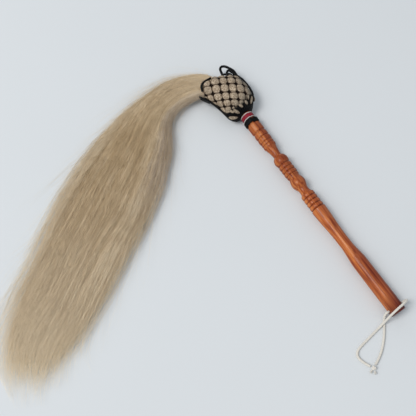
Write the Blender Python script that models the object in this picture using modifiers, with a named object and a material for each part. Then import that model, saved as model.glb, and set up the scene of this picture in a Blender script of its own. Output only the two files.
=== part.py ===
"""Horsehair fly whisk lying on its side on a table.

Frame: origin at the centre of the handle's flat butt, +X out of the butt along the
handle's axis, +Z up.  Lengths are in metres and angles in radians.  The head and the
hair lie towards -X.  A distance along the handle is measured from the butt.
"""
import math
import random

import bmesh
import bpy
from mathutils import Vector

# Driving sizes: general
FIT_GAP = 0.0003
LYING_DEPTH = 0.0120
TURNED_SIDES = 20
WOUND_LOOP_POINTS = 24

# Driving sizes: turned handle, from the butt up
BUTT_RADIUS = 0.0114
BUTT_CHAMFER = 0.0008
BUTT_SWELL_LENGTH = 0.0320
GRIP_RADIUS = 0.0112
GRIP_LENGTH = 0.0530
GRIP_STEP_LENGTH = 0.0320
WAIST_RADIUS = 0.0086
WAIST_LENGTH = 0.0120
HAND_SWELL_LENGTH = 0.0565
HAND_SWELL_RADIUS = 0.0112
LOWER_BEAD_COUNT = 4
LOWER_BEAD_LENGTH = 0.00695
LOWER_BEAD_RADIUS = 0.0108
LOWER_BEAD_GROOVE = 0.0095
PEAR_NECK_RADIUS = 0.0075
PEAR_NECK_LENGTH = 0.0105
PEAR_LENGTH = 0.0232
PEAR_RADIUS = 0.0113
PEAR_LIP_LENGTH = 0.0038
PEAR_LIP_RADIUS = 0.0100
MIDDLE_BEAD_COUNT = 3
MIDDLE_BEAD_LENGTH = 0.0067
MIDDLE_BEAD_RADIUS = 0.0106
MIDDLE_BEAD_GROOVE = 0.0093
BALL_LENGTH = 0.0190
BALL_RADIUS = 0.0113
BALL_NECK_RADIUS = 0.0064
TAPER_LENGTH = 0.0174
TAPER_TOP_RADIUS = 0.0092
SMALL_BEAD_LENGTH = 0.0054
SMALL_BEAD_RADIUS = 0.0103
UPPER_BEAD_LENGTH = 0.0092
UPPER_BEAD_RADIUS = 0.0109
UPPER_BEAD_GROOVE = 0.0096
TOP_GROOVE_LENGTH = 0.0030
TOP_RADIUS = 0.0109
TOP_LENGTH = 0.0158
TENON_RADIUS = 0.0052
TENON_LENGTH = 0.0220

# Driving sizes: hole for the wrist cord
CORD_HOLE_FROM_BUTT = 0.0085
CORD_HOLE_RADIUS = 0.0023
CORD_HOLE_FLARE = 0.0009

# Driving sizes: windings between the handle and the head
COLLAR_CORD = 0.0032
COLLAR_LOOPS = 2
COLLAR_RADIUS = 0.0118
RED_THREAD = 0.0011
RED_LOOPS = 3
WHITE_THREAD = 0.0009
WHITE_LOOPS = 1
BAND_RADIUS = 0.0097
WOUND_GAP = 0.00044

# Driving sizes: woven head.  Each row is one section of the hood: the distance of its
# centre from the neck, the centre's Y, its half width, its turn about Z and its top.
HOOD_SECTIONS = [
    (0.0002, 0.0000, 0.0093, 0.00, 0.0093),
    (0.0016, -0.0015, 0.0150, 0.12, 0.0128),
    (0.0048, -0.0015, 0.0205, 0.20, 0.0163),
    (0.0098, -0.0008, 0.0245, 0.22, 0.0197),
    (0.0168, -0.0002, 0.0266, 0.22, 0.0225),
    (0.0268, -0.0006, 0.0278, 0.18, 0.0245),
    (0.0378, -0.0020, 0.0289, 0.12, 0.0250),
    (0.0488, -0.0040, 0.0302, 0.10, 0.0240),
    (0.0588, -0.0075, 0.0298, 0.12, 0.0222),
    (0.0658, -0.0115, 0.0268, 0.20, 0.0203),
    (0.0698, -0.0155, 0.0228, 0.30, 0.0187),
    (0.0733, -0.0195, 0.0192, 0.40, 0.0175),
]
HOOD_SHOULDER = 0.0268
HOOD_SIDES = 32
HOOD_WALL = 0.0018
HOOD_SQUARENESS = 2.5
GATHER_CORDS = 12
GATHER_CORD_HEIGHT = 0.0017
GATHER_BASE_HEIGHT = 0.0006
GATHER_FADE = 0.45
EDGE_CORD = 0.0033
RIM_ARCH_BULGE = 0.0045
TAB_LENGTH = 0.0125
TAB_WIDTH = 0.0062
TAB_THICKNESS = 0.0026

# Driving sizes: roots of the hair on the tenon, inside the head
ROOT_RADIUS = 0.0066
ROOT_BULB_RADIUS = 0.0082
ROOT_LENGTH = 0.0260
BINDING_WIDTH = 0.0050
BINDING_THICKNESS = 0.0010

# Driving sizes: hair.  Each row is one section: distance of its centre from the neck
# towards the hair, the centre's Y, its half width and its half height.
THROAT_BALL_RADIUS = 0.0155
THROAT_BALL_HALF_HEIGHT = 0.0110
THROAT_SECTIONS = [
    (0.0862, -0.0316, 0.0165, 0.0117),
    (0.0915, -0.0460, 0.0215, 0.0118),
    (0.0945, -0.0620, 0.0240, 0.0118),
]
THROAT_RIDGES = 18
THROAT_RIDGE_HEIGHT = 0.0004
THROAT_FULLNESS = 1.14
BEND_FROM_NECK = 0.0948
BEND_Y = -0.0780
KNUCKLE_RADIUS = 0.0090
KNUCKLE_HALF_WIDTH = 0.0255
KNUCKLE_FRONT = 0.0030
KNUCKLE_LIP = 0.0045
SEAT_GAP = 0.0005
TAIL_SECTIONS = [
    (0.0948, -0.0780, 0.0265, 0.0115),
    (0.0808, -0.1290, 0.0390, 0.0125),
    (0.0498, -0.1760, 0.0590, 0.0125),
    (0.0178, -0.2230, 0.0690, 0.0120),
    (-0.0142, -0.2700, 0.0725, 0.0112),
    (-0.0472, -0.3170, 0.0705, 0.0102),
    (-0.0812, -0.3620, 0.0640, 0.0090),
    (-0.1142, -0.4080, 0.0550, 0.0074),
    (-0.1522, -0.4500, 0.0390, 0.0050),
    (-0.1920, -0.4700, 0.0150, 0.0028),
]
STRAND_COLUMNS = 25
STRAND_ROWS = 6
STRAND_RINGS = (0.15, 0.38, 0.70)
STRAND_FULLNESS = (0.86, 0.80, 0.62)
STRAND_SHORTEST = 0.55
STRAND_SEED = 11
FLAT_CUT = 0.0005

# Driving sizes: wrist cord.  The routes run from the mouths of the hole to the knot.
WRIST_CORD = 0.0034
OVER_ROUTE = [
    (-0.0085, 0.0117, 0.0000), (-0.0085, 0.0134, 0.0001), (-0.0085, 0.0155, 0.0009),
    (-0.0082, 0.0172, 0.0028), (-0.0078, 0.0179, 0.0055), (-0.0073, 0.0171, 0.0084),
    (-0.0067, 0.0147, 0.0111), (-0.0060, 0.0109, 0.0133), (-0.0053, 0.0062, 0.0144),
    (-0.0047, 0.0012, 0.0145), (-0.0041, -0.0037, 0.0139), (-0.0035, -0.0083, 0.0122),
    (-0.0029, -0.0122, 0.0091), (-0.0023, -0.0155, 0.0049), (-0.0015, -0.0187, 0.0003),
    (-0.0006, -0.0222, -0.0039), (0.0004, -0.0265, -0.0074), (0.0015, -0.0318, -0.0096),
    (0.0026, -0.0380, -0.0102), (0.0042, -0.0470, -0.0102), (0.0059, -0.0570, -0.0102),
    (0.0075, -0.0660, -0.0102), (0.0090, -0.0727, -0.0102), (0.0113, -0.0780, -0.0102),
    (0.0155, -0.0812, -0.0102), (0.0209, -0.0816, -0.0102), (0.0266, -0.0800, -0.0101),
    (0.0320, -0.0777, -0.0098), (0.0359, -0.0757, -0.0094),
]
UNDER_ROUTE = [
    (-0.0085, -0.0117, 0.0000), (-0.0085, -0.0134, -0.0003), (-0.0081, -0.0153, -0.0017),
    (-0.0072, -0.0170, -0.0040), (-0.0056, -0.0186, -0.0067), (-0.0032, -0.0203, -0.0089),
    (-0.0001, -0.0224, -0.0100), (0.0037, -0.0252, -0.0102), (0.0085, -0.0291, -0.0102),
    (0.0143, -0.0343, -0.0102), (0.0206, -0.0406, -0.0102), (0.0264, -0.0475, -0.0102),
    (0.0312, -0.0545, -0.0102), (0.0352, -0.0618, -0.0100), (0.0379, -0.0685, -0.0095),
]
KNOT_CENTRE = (0.0402, -0.0734, -0.0078)
KNOT_RADIUS = 0.0040
KNOT_LOBE = 0.0005
FRAYED_LENGTH = 0.0045
FRAYED_ROOT_RADIUS = 0.0012
FRAYED_TIP_RADIUS = 0.0021
FRAYED_SLOPE = -0.12

# Worked out: places along the handle, from the butt
collar_pitch = COLLAR_CORD + WOUND_GAP
red_pitch = RED_THREAD + WOUND_GAP
white_pitch = WHITE_THREAD + WOUND_GAP
collar_width = COLLAR_LOOPS * collar_pitch + COLLAR_CORD
red_width = RED_LOOPS * red_pitch + RED_THREAD
white_width = WHITE_LOOPS * white_pitch + WHITE_THREAD
collar_seat_radius = COLLAR_RADIUS - COLLAR_CORD - FIT_GAP
band_seat_radius = BAND_RADIUS - RED_THREAD - FIT_GAP

grip_top = BUTT_SWELL_LENGTH + GRIP_LENGTH
waist_from = grip_top + GRIP_STEP_LENGTH
waist_to = waist_from + WAIST_LENGTH
lower_beads_from = waist_to + HAND_SWELL_LENGTH
pear_neck_from = lower_beads_from + LOWER_BEAD_COUNT * LOWER_BEAD_LENGTH
pear_from = pear_neck_from + PEAR_NECK_LENGTH
lip_from = pear_from + PEAR_LENGTH
middle_beads_from = lip_from + PEAR_LIP_LENGTH
ball_from = middle_beads_from + MIDDLE_BEAD_COUNT * MIDDLE_BEAD_LENGTH
taper_from = ball_from + BALL_LENGTH
upper_beads_from = taper_from + TAPER_LENGTH
top_groove_from = upper_beads_from + 2 * SMALL_BEAD_LENGTH + 2 * UPPER_BEAD_LENGTH
top_from = top_groove_from + TOP_GROOVE_LENGTH
collar_from = top_from + TOP_LENGTH
bands_from = collar_from + FIT_GAP + collar_width + FIT_GAP
neck = bands_from + 2 * white_width + red_width + 4 * FIT_GAP
tenon_to = neck + TENON_LENGTH
surface_z = -LYING_DEPTH


def clear_scene():
    for thing in list(bpy.data.objects):
        bpy.data.objects.remove(thing, do_unlink=True)


def new_collection(name):
    group = bpy.data.collections.new(name)
    bpy.context.scene.collection.children.link(group)
    return group


def new_material(name, colour, roughness, metallic=0.0):
    material = bpy.data.materials.new(name)
    material.use_nodes = True
    shader = material.node_tree.nodes["Principled BSDF"]
    shader.inputs["Base Color"].default_value = (*colour, 1.0)
    shader.inputs["Roughness"].default_value = roughness
    shader.inputs["Metallic"].default_value = metallic
    material.diffuse_color = (*colour, 1.0)
    return material


def place(thing, group, material=None, parent=None):
    group.objects.link(thing)
    if material is not None:
        thing.data.materials.append(material)
    if parent is not None:
        thing.parent = parent
    return thing


def mesh_object(name, bm, group, material=None, parent=None):
    mesh = bpy.data.meshes.new(name)
    bm.to_mesh(mesh)
    bm.free()
    mesh.shade_smooth()
    mesh.set_sharp_from_angle(angle=math.radians(40))
    return place(bpy.data.objects.new(name, mesh), group, material, parent)


def turned(name, profile, group, material=None, parent=None, sides=TURNED_SIDES):
    """Turns a profile of (radius, distance from the butt), given from the butt up."""
    bm = bmesh.new()
    points = [bm.verts.new((radius, 0.0, along)) for radius, along in reversed(profile)]
    for first, second in zip(points, points[1:]):
        bm.edges.new((first, second))
    thing = mesh_object(name, bm, group, material, parent)
    screw = thing.modifiers.new("Turn", "SCREW")
    screw.steps = sides
    screw.render_steps = sides
    screw.use_merge_vertices = True
    screw.merge_threshold = 0.00001
    return thing


def cord(name, points, diameter, group, material=None, parent=None, resolution=2):
    curve = bpy.data.curves.new(name, "CURVE")
    curve.dimensions = "3D"
    curve.bevel_depth = diameter / 2
    curve.bevel_resolution = resolution
    curve.use_fill_caps = True
    spline = curve.splines.new("POLY")
    spline.points.add(len(points) - 1)
    for target, point in zip(spline.points, points):
        target.co = (*point, 1.0)
    return place(bpy.data.objects.new(name, curve), group, material, parent)


def cut(thing, cutter):
    boolean = thing.modifiers.new("Cut " + cutter.name, "BOOLEAN")
    boolean.operation = "DIFFERENCE"
    boolean.solver = "EXACT"
    boolean.object = cutter
    cutter.hide_render = True
    cutter.display_type = "WIRE"


def smooth_between(low, high, share):
    """Smooth step from one value to another."""
    eased = share * share * (3.0 - 2.0 * share)
    return low + (high - low) * eased


def through(rows, where):
    """Catmull-Rom curve through rows of equal length; where counts rows from 0."""
    last = len(rows) - 1
    index = min(int(where), last - 1)
    share = where - index
    before = rows[max(index - 1, 0)]
    first = rows[index]
    second = rows[index + 1]
    after = rows[min(index + 2, last)]
    result = []
    for a, b, c, d in zip(before, first, second, after):
        slope_in = (c - a) / 2
        slope_out = (d - b) / 2
        cubic = 2 * b - 2 * c + slope_in + slope_out
        square = -3 * b + 3 * c - 2 * slope_in - slope_out
        result.append(((cubic * share + square) * share + slope_in) * share + b)
    return result


def spaced_route(route, spacing):
    """Points at equal spacing on a smooth curve through a route's own points."""
    steps_each = 12
    count = (len(route) - 1) * steps_each
    fine = [Vector(through(route, i / steps_each)) for i in range(count + 1)]
    lengths = [0.0]
    for first, second in zip(fine, fine[1:]):
        lengths.append(lengths[-1] + (second - first).length)
    wanted = max(2, round(lengths[-1] / spacing))
    points = []
    cursor = 0
    for i in range(wanted + 1):
        target = lengths[-1] * i / wanted
        while cursor < len(lengths) - 2 and lengths[cursor + 1] < target:
            cursor += 1
        share = (target - lengths[cursor]) / (lengths[cursor + 1] - lengths[cursor])
        points.append(fine[cursor].lerp(fine[cursor + 1], share))
    return points


def route_length(points):
    return sum((second - first).length for first, second in zip(points, points[1:]))


def bead(start, length, crown, groove):
    """Half-round bead between two grooves, as (radius, distance) points."""
    points = []
    for share in (-1.0, -0.75, 0.0, 0.75):
        height = math.sqrt(1.0 - share * share)
        points.append((groove + (crown - groove) * height, start + length * (1 + share) / 2))
    return points


def handle_profile():
    """Turned outline of the handle from the centre of the butt to the end of the tenon."""
    points = [(0.0, 0.0), (BUTT_RADIUS - BUTT_CHAMFER, 0.0), (BUTT_RADIUS, BUTT_CHAMFER)]
    points.append((BUTT_RADIUS, BUTT_SWELL_LENGTH))
    for share in (0.0, 0.22, 0.4, 0.6, 0.8, 1.0):
        radius = smooth_between(GRIP_RADIUS, WAIST_RADIUS, share)
        points.append((radius, grip_top + GRIP_STEP_LENGTH * share))
    for share in (0.0, 0.25, 0.5, 0.75, 0.94):
        radius = smooth_between(WAIST_RADIUS, HAND_SWELL_RADIUS, share)
        points.append((radius, waist_to + HAND_SWELL_LENGTH * share))
    for i in range(LOWER_BEAD_COUNT):
        start = lower_beads_from + i * LOWER_BEAD_LENGTH
        points += bead(start, LOWER_BEAD_LENGTH, LOWER_BEAD_RADIUS, LOWER_BEAD_GROOVE)
    points.append((LOWER_BEAD_GROOVE, pear_neck_from))
    for share in (0.35, 0.7, 1.0):
        points.append((PEAR_NECK_RADIUS, pear_neck_from + PEAR_NECK_LENGTH * share))
    for share in (0.12, 0.3, 0.5, 0.7, 0.9):
        swell = math.sin(math.pi * share ** 0.85)
        radius = PEAR_NECK_RADIUS + (PEAR_RADIUS - PEAR_NECK_RADIUS) * swell ** 0.8
        if share > 0.7:
            radius = max(radius, MIDDLE_BEAD_GROOVE)
        points.append((radius, pear_from + PEAR_LENGTH * share))
    points += bead(lip_from, PEAR_LIP_LENGTH, PEAR_LIP_RADIUS, MIDDLE_BEAD_GROOVE)
    for i in range(MIDDLE_BEAD_COUNT):
        start = middle_beads_from + i * MIDDLE_BEAD_LENGTH
        points += bead(start, MIDDLE_BEAD_LENGTH, MIDDLE_BEAD_RADIUS, MIDDLE_BEAD_GROOVE)
    points.append((MIDDLE_BEAD_GROOVE, ball_from))
    for share in (-0.62, -0.35, 0.0, 0.35, 0.62, 0.82):
        radius = BALL_RADIUS * math.sqrt(1.0 - share * share)
        points.append((radius, ball_from + BALL_LENGTH * (1 + share) / 2))
    for share in (0.0, 0.35, 0.65, 0.88, 1.0):
        radius = BALL_NECK_RADIUS + (TAPER_TOP_RADIUS - BALL_NECK_RADIUS) * share ** 1.6
        points.append((radius, taper_from + TAPER_LENGTH * share))
    start = upper_beads_from
    for length, crown in (
        (SMALL_BEAD_LENGTH, SMALL_BEAD_RADIUS),
        (SMALL_BEAD_LENGTH, SMALL_BEAD_RADIUS),
        (UPPER_BEAD_LENGTH, UPPER_BEAD_RADIUS),
        (UPPER_BEAD_LENGTH, UPPER_BEAD_RADIUS),
    ):
        points += bead(start, length, crown, UPPER_BEAD_GROOVE)
        start += length
    points.append((UPPER_BEAD_GROOVE, top_groove_from))
    points.append((UPPER_BEAD_GROOVE, top_from - (TOP_RADIUS - UPPER_BEAD_GROOVE)))
    points.append((TOP_RADIUS, top_from))
    points.append((TOP_RADIUS, collar_from))
    points.append((collar_seat_radius, collar_from))
    points.append((collar_seat_radius, bands_from - FIT_GAP))
    points.append((band_seat_radius, bands_from - FIT_GAP))
    points.append((band_seat_radius, neck - FIT_GAP))
    points.append((TENON_RADIUS, neck - FIT_GAP))
    points.append((TENON_RADIUS, tenon_to))
    points.append((0.0, tenon_to))
    return points


def make_handle(parts, cutters, axis, wood):
    handle = turned("handle", handle_profile(), parts, wood, axis)
    reach = BUTT_RADIUS + CORD_HOLE_RADIUS
    flare_from = BUTT_RADIUS - CORD_HOLE_FLARE
    outline = [
        (0.0, -reach),
        (CORD_HOLE_RADIUS + CORD_HOLE_FLARE, -reach),
        (CORD_HOLE_RADIUS + CORD_HOLE_FLARE, -BUTT_RADIUS),
        (CORD_HOLE_RADIUS, -flare_from),
        (CORD_HOLE_RADIUS, flare_from),
        (CORD_HOLE_RADIUS + CORD_HOLE_FLARE, BUTT_RADIUS),
        (CORD_HOLE_RADIUS + CORD_HOLE_FLARE, reach),
        (0.0, reach),
    ]
    hole = turned("cord_hole_cutter", outline, cutters, sides=16)
    hole.rotation_euler = (math.radians(90), 0.0, 0.0)
    hole.location = (-CORD_HOLE_FROM_BUTT, 0.0, 0.0)
    cut(handle, hole)


def wound_points(start, radius, pitch, loops, diameter):
    """One winding about the handle's axis, its ends straight for one diameter."""
    count = loops * WOUND_LOOP_POINTS
    middle = start + diameter / 2
    points = []
    for i in range(count + 1):
        turn = 2 * math.pi * i / WOUND_LOOP_POINTS
        along = middle + pitch * i / WOUND_LOOP_POINTS
        points.append(Vector((radius * math.cos(turn), radius * math.sin(turn), along)))
    first_run = (points[0] - points[1]).normalized() * diameter
    last_run = (points[-1] - points[-2]).normalized() * diameter
    return [points[0] + first_run] + points + [points[-1] + last_run]


def least_gap(name, points, diameter):
    """Prints the least gap between points that lie half a loop or more apart."""
    apart = WOUND_LOOP_POINTS // 2
    gaps = []
    for i, point in enumerate(points):
        for other in points[i + apart:]:
            gaps.append((other - point).length - diameter)
    print(f"{name}: least gap to itself {min(gaps) * 1000:.2f} mm")


def make_windings(parts, axis, black, red, white):
    white_middle_radius = band_seat_radius + FIT_GAP + WHITE_THREAD / 2
    start = collar_from + FIT_GAP
    rows = [
        ("collar_cord", COLLAR_CORD, collar_pitch, COLLAR_LOOPS, COLLAR_RADIUS - COLLAR_CORD / 2, black),
        ("lower_white_thread", WHITE_THREAD, white_pitch, WHITE_LOOPS, white_middle_radius, white),
        ("red_thread_band", RED_THREAD, red_pitch, RED_LOOPS, BAND_RADIUS - RED_THREAD / 2, red),
        ("upper_white_thread", WHITE_THREAD, white_pitch, WHITE_LOOPS, white_middle_radius, white),
    ]
    for name, diameter, pitch, loops, radius, material in rows:
        points = wound_points(start, radius, pitch, loops, diameter)
        least_gap(name, points, diameter)
        cord(name, points, diameter, parts, material, axis, resolution=1)
        start += loops * pitch + diameter + FIT_GAP


def make_roots(parts, axis, hair, waxed):
    """Hair roots tied round the tenon, with a waxed binding in their groove."""
    inner = TENON_RADIUS + FIT_GAP
    start = neck + FIT_GAP
    groove_from = start + ROOT_LENGTH * 0.2
    groove_to = groove_from + BINDING_WIDTH + 2 * FIT_GAP
    groove_radius = ROOT_RADIUS - BINDING_THICKNESS / 2
    end = start + ROOT_LENGTH
    profile = [
        (0.0, tenon_to + FIT_GAP),
        (inner, tenon_to + FIT_GAP),
        (inner, start),
        (ROOT_RADIUS, start),
        (ROOT_RADIUS, groove_from),
        (groove_radius, groove_from),
        (groove_radius, groove_to),
        (ROOT_RADIUS, groove_to),
        (ROOT_BULB_RADIUS, groove_to + (end - groove_to) * 0.45),
        (ROOT_BULB_RADIUS * 0.8, groove_to + (end - groove_to) * 0.85),
        (0.0, end),
    ]
    turned("hair_roots", profile, parts, hair, axis)
    inside = groove_radius + FIT_GAP
    outside = inside + BINDING_THICKNESS
    low = groove_from + FIT_GAP
    high = groove_to - FIT_GAP
    soft = BINDING_THICKNESS * 0.3
    ring = [
        (inside, high), (inside, low), (outside - soft, low), (outside, low + soft),
        (outside, high - soft), (outside - soft, high), (inside, high),
    ]
    turned("root_binding", ring, parts, waxed, axis)


def hood_row(where):
    from_neck, y, half_width, turn, top = through(HOOD_SECTIONS, where)
    share = min(from_neck / HOOD_SHOULDER, 1.0)
    bottom = smooth_between(-HOOD_SECTIONS[0][2], surface_z, share)
    squareness = 2.0 + (HOOD_SQUARENESS - 2.0) * share
    return from_neck, y, half_width, turn, bottom, top, squareness


def hood_point(where, angle):
    """Point on the hood's outside; angle 0 is the side at +Y and a quarter turn is the top."""
    from_neck, y, half_width, turn, bottom, top, squareness = hood_row(where)
    power = 2.0 / squareness
    across = math.copysign(abs(math.cos(angle)) ** power, math.cos(angle)) * half_width
    half_height = (top - bottom) / 2
    rise = math.copysign(abs(math.sin(angle)) ** power, math.sin(angle)) * half_height
    return Vector((
        -(neck + from_neck) - across * math.sin(turn),
        y + across * math.cos(turn),
        (top + bottom) / 2 + rise,
    ))


def hood_normal(where, angle):
    """Outward direction of the hood's surface."""
    last = len(HOOD_SECTIONS) - 1
    low = max(where - 0.12, 0.0)
    high = min(where + 0.12, last)
    along = hood_point(high, angle) - hood_point(low, angle)
    around = hood_point(where, angle + 0.12) - hood_point(where, angle - 0.12)
    return along.cross(around).normalized()


def off_hood(where, angle, distance):
    return hood_point(where, angle) + hood_normal(where, angle) * distance


def loft(rings, closed_ends):
    """Skins rings of equal count in order; closed_ends fills the first and the last."""
    bm = bmesh.new()
    loops = [[bm.verts.new(point) for point in ring] for ring in rings]
    for first, second in zip(loops, loops[1:]):
        count = len(first)
        for i in range(count):
            after = (i + 1) % count
            bm.faces.new((first[i], first[after], second[after], second[i]))
    if closed_ends:
        ends = [bm.faces.new(list(reversed(loops[0]))), bm.faces.new(loops[-1])]
        bmesh.ops.poke(bm, faces=ends)
    bmesh.ops.recalc_face_normals(bm, faces=bm.faces)
    return bm


def hood_rings(places, sides, distance):
    turns = [2 * math.pi * i / sides for i in range(sides)]
    return [[off_hood(where, turn, distance) for turn in turns] for where in places]


def make_hood(parts, ivory):
    """Woven cover: a bag of one wall, open at the neck and at the mouth."""
    places = range(len(HOOD_SECTIONS))
    outer = hood_rings(places, HOOD_SIDES, 0.0)
    inner = hood_rings(places, HOOD_SIDES, -HOOD_WALL)
    bm = loft(outer + list(reversed(inner)) + outer[:1], False)
    bmesh.ops.remove_doubles(bm, verts=bm.verts, dist=0.000001)
    bmesh.ops.recalc_face_normals(bm, faces=bm.faces)
    mesh_object("woven_cover", bm, parts, ivory)


def make_padding(parts, cutters, axis, black):
    """Stuffing inside the cover, bored for the hair roots and seated for the throat."""
    places = (2.0, 3.0, 4.0, 5.0, 6.0, 7.0, 8.0, 9.0)
    rings = hood_rings(places, 24, -(HOOD_WALL + FIT_GAP * 2))
    padding = mesh_object("head_padding", loft(rings, True), parts, black)
    clearance = FIT_GAP * 1.5
    bore = [
        (0.0, neck - clearance),
        (ROOT_RADIUS + BINDING_THICKNESS + clearance, neck - clearance),
        (ROOT_BULB_RADIUS + clearance, neck + ROOT_LENGTH * 0.35),
        (ROOT_BULB_RADIUS + clearance, neck + ROOT_LENGTH + clearance),
        (0.0, neck + ROOT_LENGTH + clearance + ROOT_RADIUS * 0.3),
    ]
    cut(padding, turned("root_bore_cutter", bore, cutters, None, axis, sides=20))
    bm = bmesh.new()
    bmesh.ops.create_uvsphere(bm, u_segments=36, v_segments=16, radius=1.0)
    seat = mesh_object("throat_seat_cutter", bm, cutters)
    seat.location = throat_centre()
    across = THROAT_BALL_RADIUS + SEAT_GAP
    seat.scale = (across, across, THROAT_BALL_HALF_HEIGHT + SEAT_GAP)
    cut(padding, seat)


def make_gather(parts, black):
    """Black cords drawn together at the neck, as ridges over the cover's shoulder."""
    sides = GATHER_CORDS * 4
    places = (0.0, 0.5, 1.0, 2.0, 3.0)
    turns = [2 * math.pi * i / sides for i in range(sides)]
    inner = hood_rings(places, sides, FIT_GAP * 1.5)
    outer = []
    for where, inner_ring in zip(places, inner):
        spread = where / places[-1]
        ring = []
        for turn, point in zip(turns, inner_ring):
            ridge = (1.0 + math.cos(GATHER_CORDS * turn)) / 2
            height = GATHER_BASE_HEIGHT + GATHER_CORD_HEIGHT * ridge * (1.0 - GATHER_FADE * spread)
            outward = hood_normal(where, turn)
            if where == 0.0:
                outward = Vector((0.0, math.cos(turn), math.sin(turn)))
            ring.append(point + outward * height)
        outer.append(ring)
    bm = loft(outer + list(reversed(inner)) + outer[:1], False)
    bmesh.ops.remove_doubles(bm, verts=bm.verts, dist=0.000001)
    bmesh.ops.recalc_face_normals(bm, faces=bm.faces)
    mesh_object("neck_gather", bm, parts, black)


def make_edge_cords(parts, black):
    """Black cords along the cover's two edges and round its mouth."""
    lift = EDGE_CORD / 2 + FIT_GAP * 2
    spacing = EDGE_CORD * 2.2

    def along_cover(name, route):
        points = [off_hood(where, math.radians(angle), lift) for where, angle in route]
        return cord(name, spaced_route(points, spacing), EDGE_CORD, parts, black)

    along_cover("right_edge_cord", [(3.3, 0), (4, 0), (5, 0), (6, 0), (7, 0), (7.9, 0)])
    along_cover("left_edge_cord", [(3.3, 180), (4, 180), (5, 180), (6, 180), (7, 180), (7.7, 180)])
    along_cover("right_rim_cord", [(7.9, 38), (8.6, 36), (9.3, 34), (10.0, 34), (10.6, 36)])

    last = len(HOOD_SECTIONS) - 1
    out = mouth_direction()
    arch = []
    for angle in (160, 142, 124, 106, 88, 70):
        share = (160 - angle) / 90
        bulge = RIM_ARCH_BULGE * math.sin(math.pi * share)
        arch.append(hood_point(last, math.radians(angle)) + out * (lift + bulge))
    cord("left_rim_cord", spaced_route(arch, spacing), EDGE_CORD, parts, black)

    seated = EDGE_CORD / 2 - FIT_GAP
    start = off_hood(8.15, 0.0, seated)
    end = off_hood(10.7, math.radians(8), seated + FIT_GAP)
    loop = [
        start,
        start + Vector((-0.0080, 0.0012, 0.0006)),
        start + Vector((-0.0150, -0.0035, 0.0016)),
        start + Vector((-0.0215, -0.0100, 0.0026)),
        end + Vector((-0.0085, 0.0040, 0.0018)),
        end + Vector((-0.0060, -0.0012, 0.0012)),
        end,
    ]
    cord("rim_loop", spaced_route(loop, spacing), EDGE_CORD, parts, black)


def make_tab(parts, black):
    """Flattened end of the left edge cord, pointing past the corner of the mouth."""
    start = off_hood(7.9, math.pi, TAB_THICKNESS / 2 + FIT_GAP)
    finish = start + Vector((-TAB_LENGTH, -TAB_LENGTH * 0.3, -TAB_LENGTH * 0.16))
    along = (finish - start).normalized()
    side = along.cross(Vector((0.0, 0.0, 1.0))).normalized()
    rise = side.cross(along)
    rings = []
    for share, width, thick in ((0, 0.5, 0.9), (0.25, 1, 1), (0.6, 0.9, 1), (0.85, 0.5, 0.7), (1, 0.12, 0.3)):
        centre = start.lerp(finish, share)
        ring = []
        for i in range(8):
            turn = 2 * math.pi * i / 8
            rise_by = rise * (math.sin(turn) * TAB_WIDTH * width / 2)
            ring.append(centre + rise_by + side * (math.cos(turn) * TAB_THICKNESS * thick / 2))
        rings.append(ring)
    mesh_object("corner_tab", loft(rings, True), parts, black)


def mouth_direction():
    """Direction out of the mouth, level."""
    turn = HOOD_SECTIONS[-1][3]
    return Vector((-math.cos(turn), -math.sin(turn), 0.0))


def throat_centre():
    """Middle of the mouth, a little inside the rim: the hair swings about this upright axis."""
    from_neck, y = HOOD_SECTIONS[-1][:2]
    middle = Vector((-(neck + from_neck), y, surface_z + HOOD_WALL + FIT_GAP + THROAT_BALL_HALF_HEIGHT))
    return middle - mouth_direction() * FIT_GAP * 5


def bend_centre():
    """The hair lifts about a level axis along X through this point."""
    half_height = TAIL_SECTIONS[0][3]
    return Vector((-(neck + BEND_FROM_NECK), BEND_Y, surface_z + half_height))


def hair_ring(centre, side, half_width, half_height, sides, fullness=1.0, ridge=0.0):
    """Section of the bundle: an ellipse, made squarer by fullness and ridged as asked."""
    ring = []
    for i in range(sides):
        turn = 2 * math.pi * i / sides
        across = math.copysign(abs(math.cos(turn)) ** (1.0 / fullness), math.cos(turn))
        rise = math.copysign(abs(math.sin(turn)) ** (1.0 / fullness), math.sin(turn))
        grow = ridge * math.cos(THROAT_RIDGES * turn)
        point = centre + side * (across * (half_width + grow))
        point.z += rise * (half_height + grow)
        point.z = max(point.z, surface_z)
        ring.append(point)
    return ring


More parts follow.
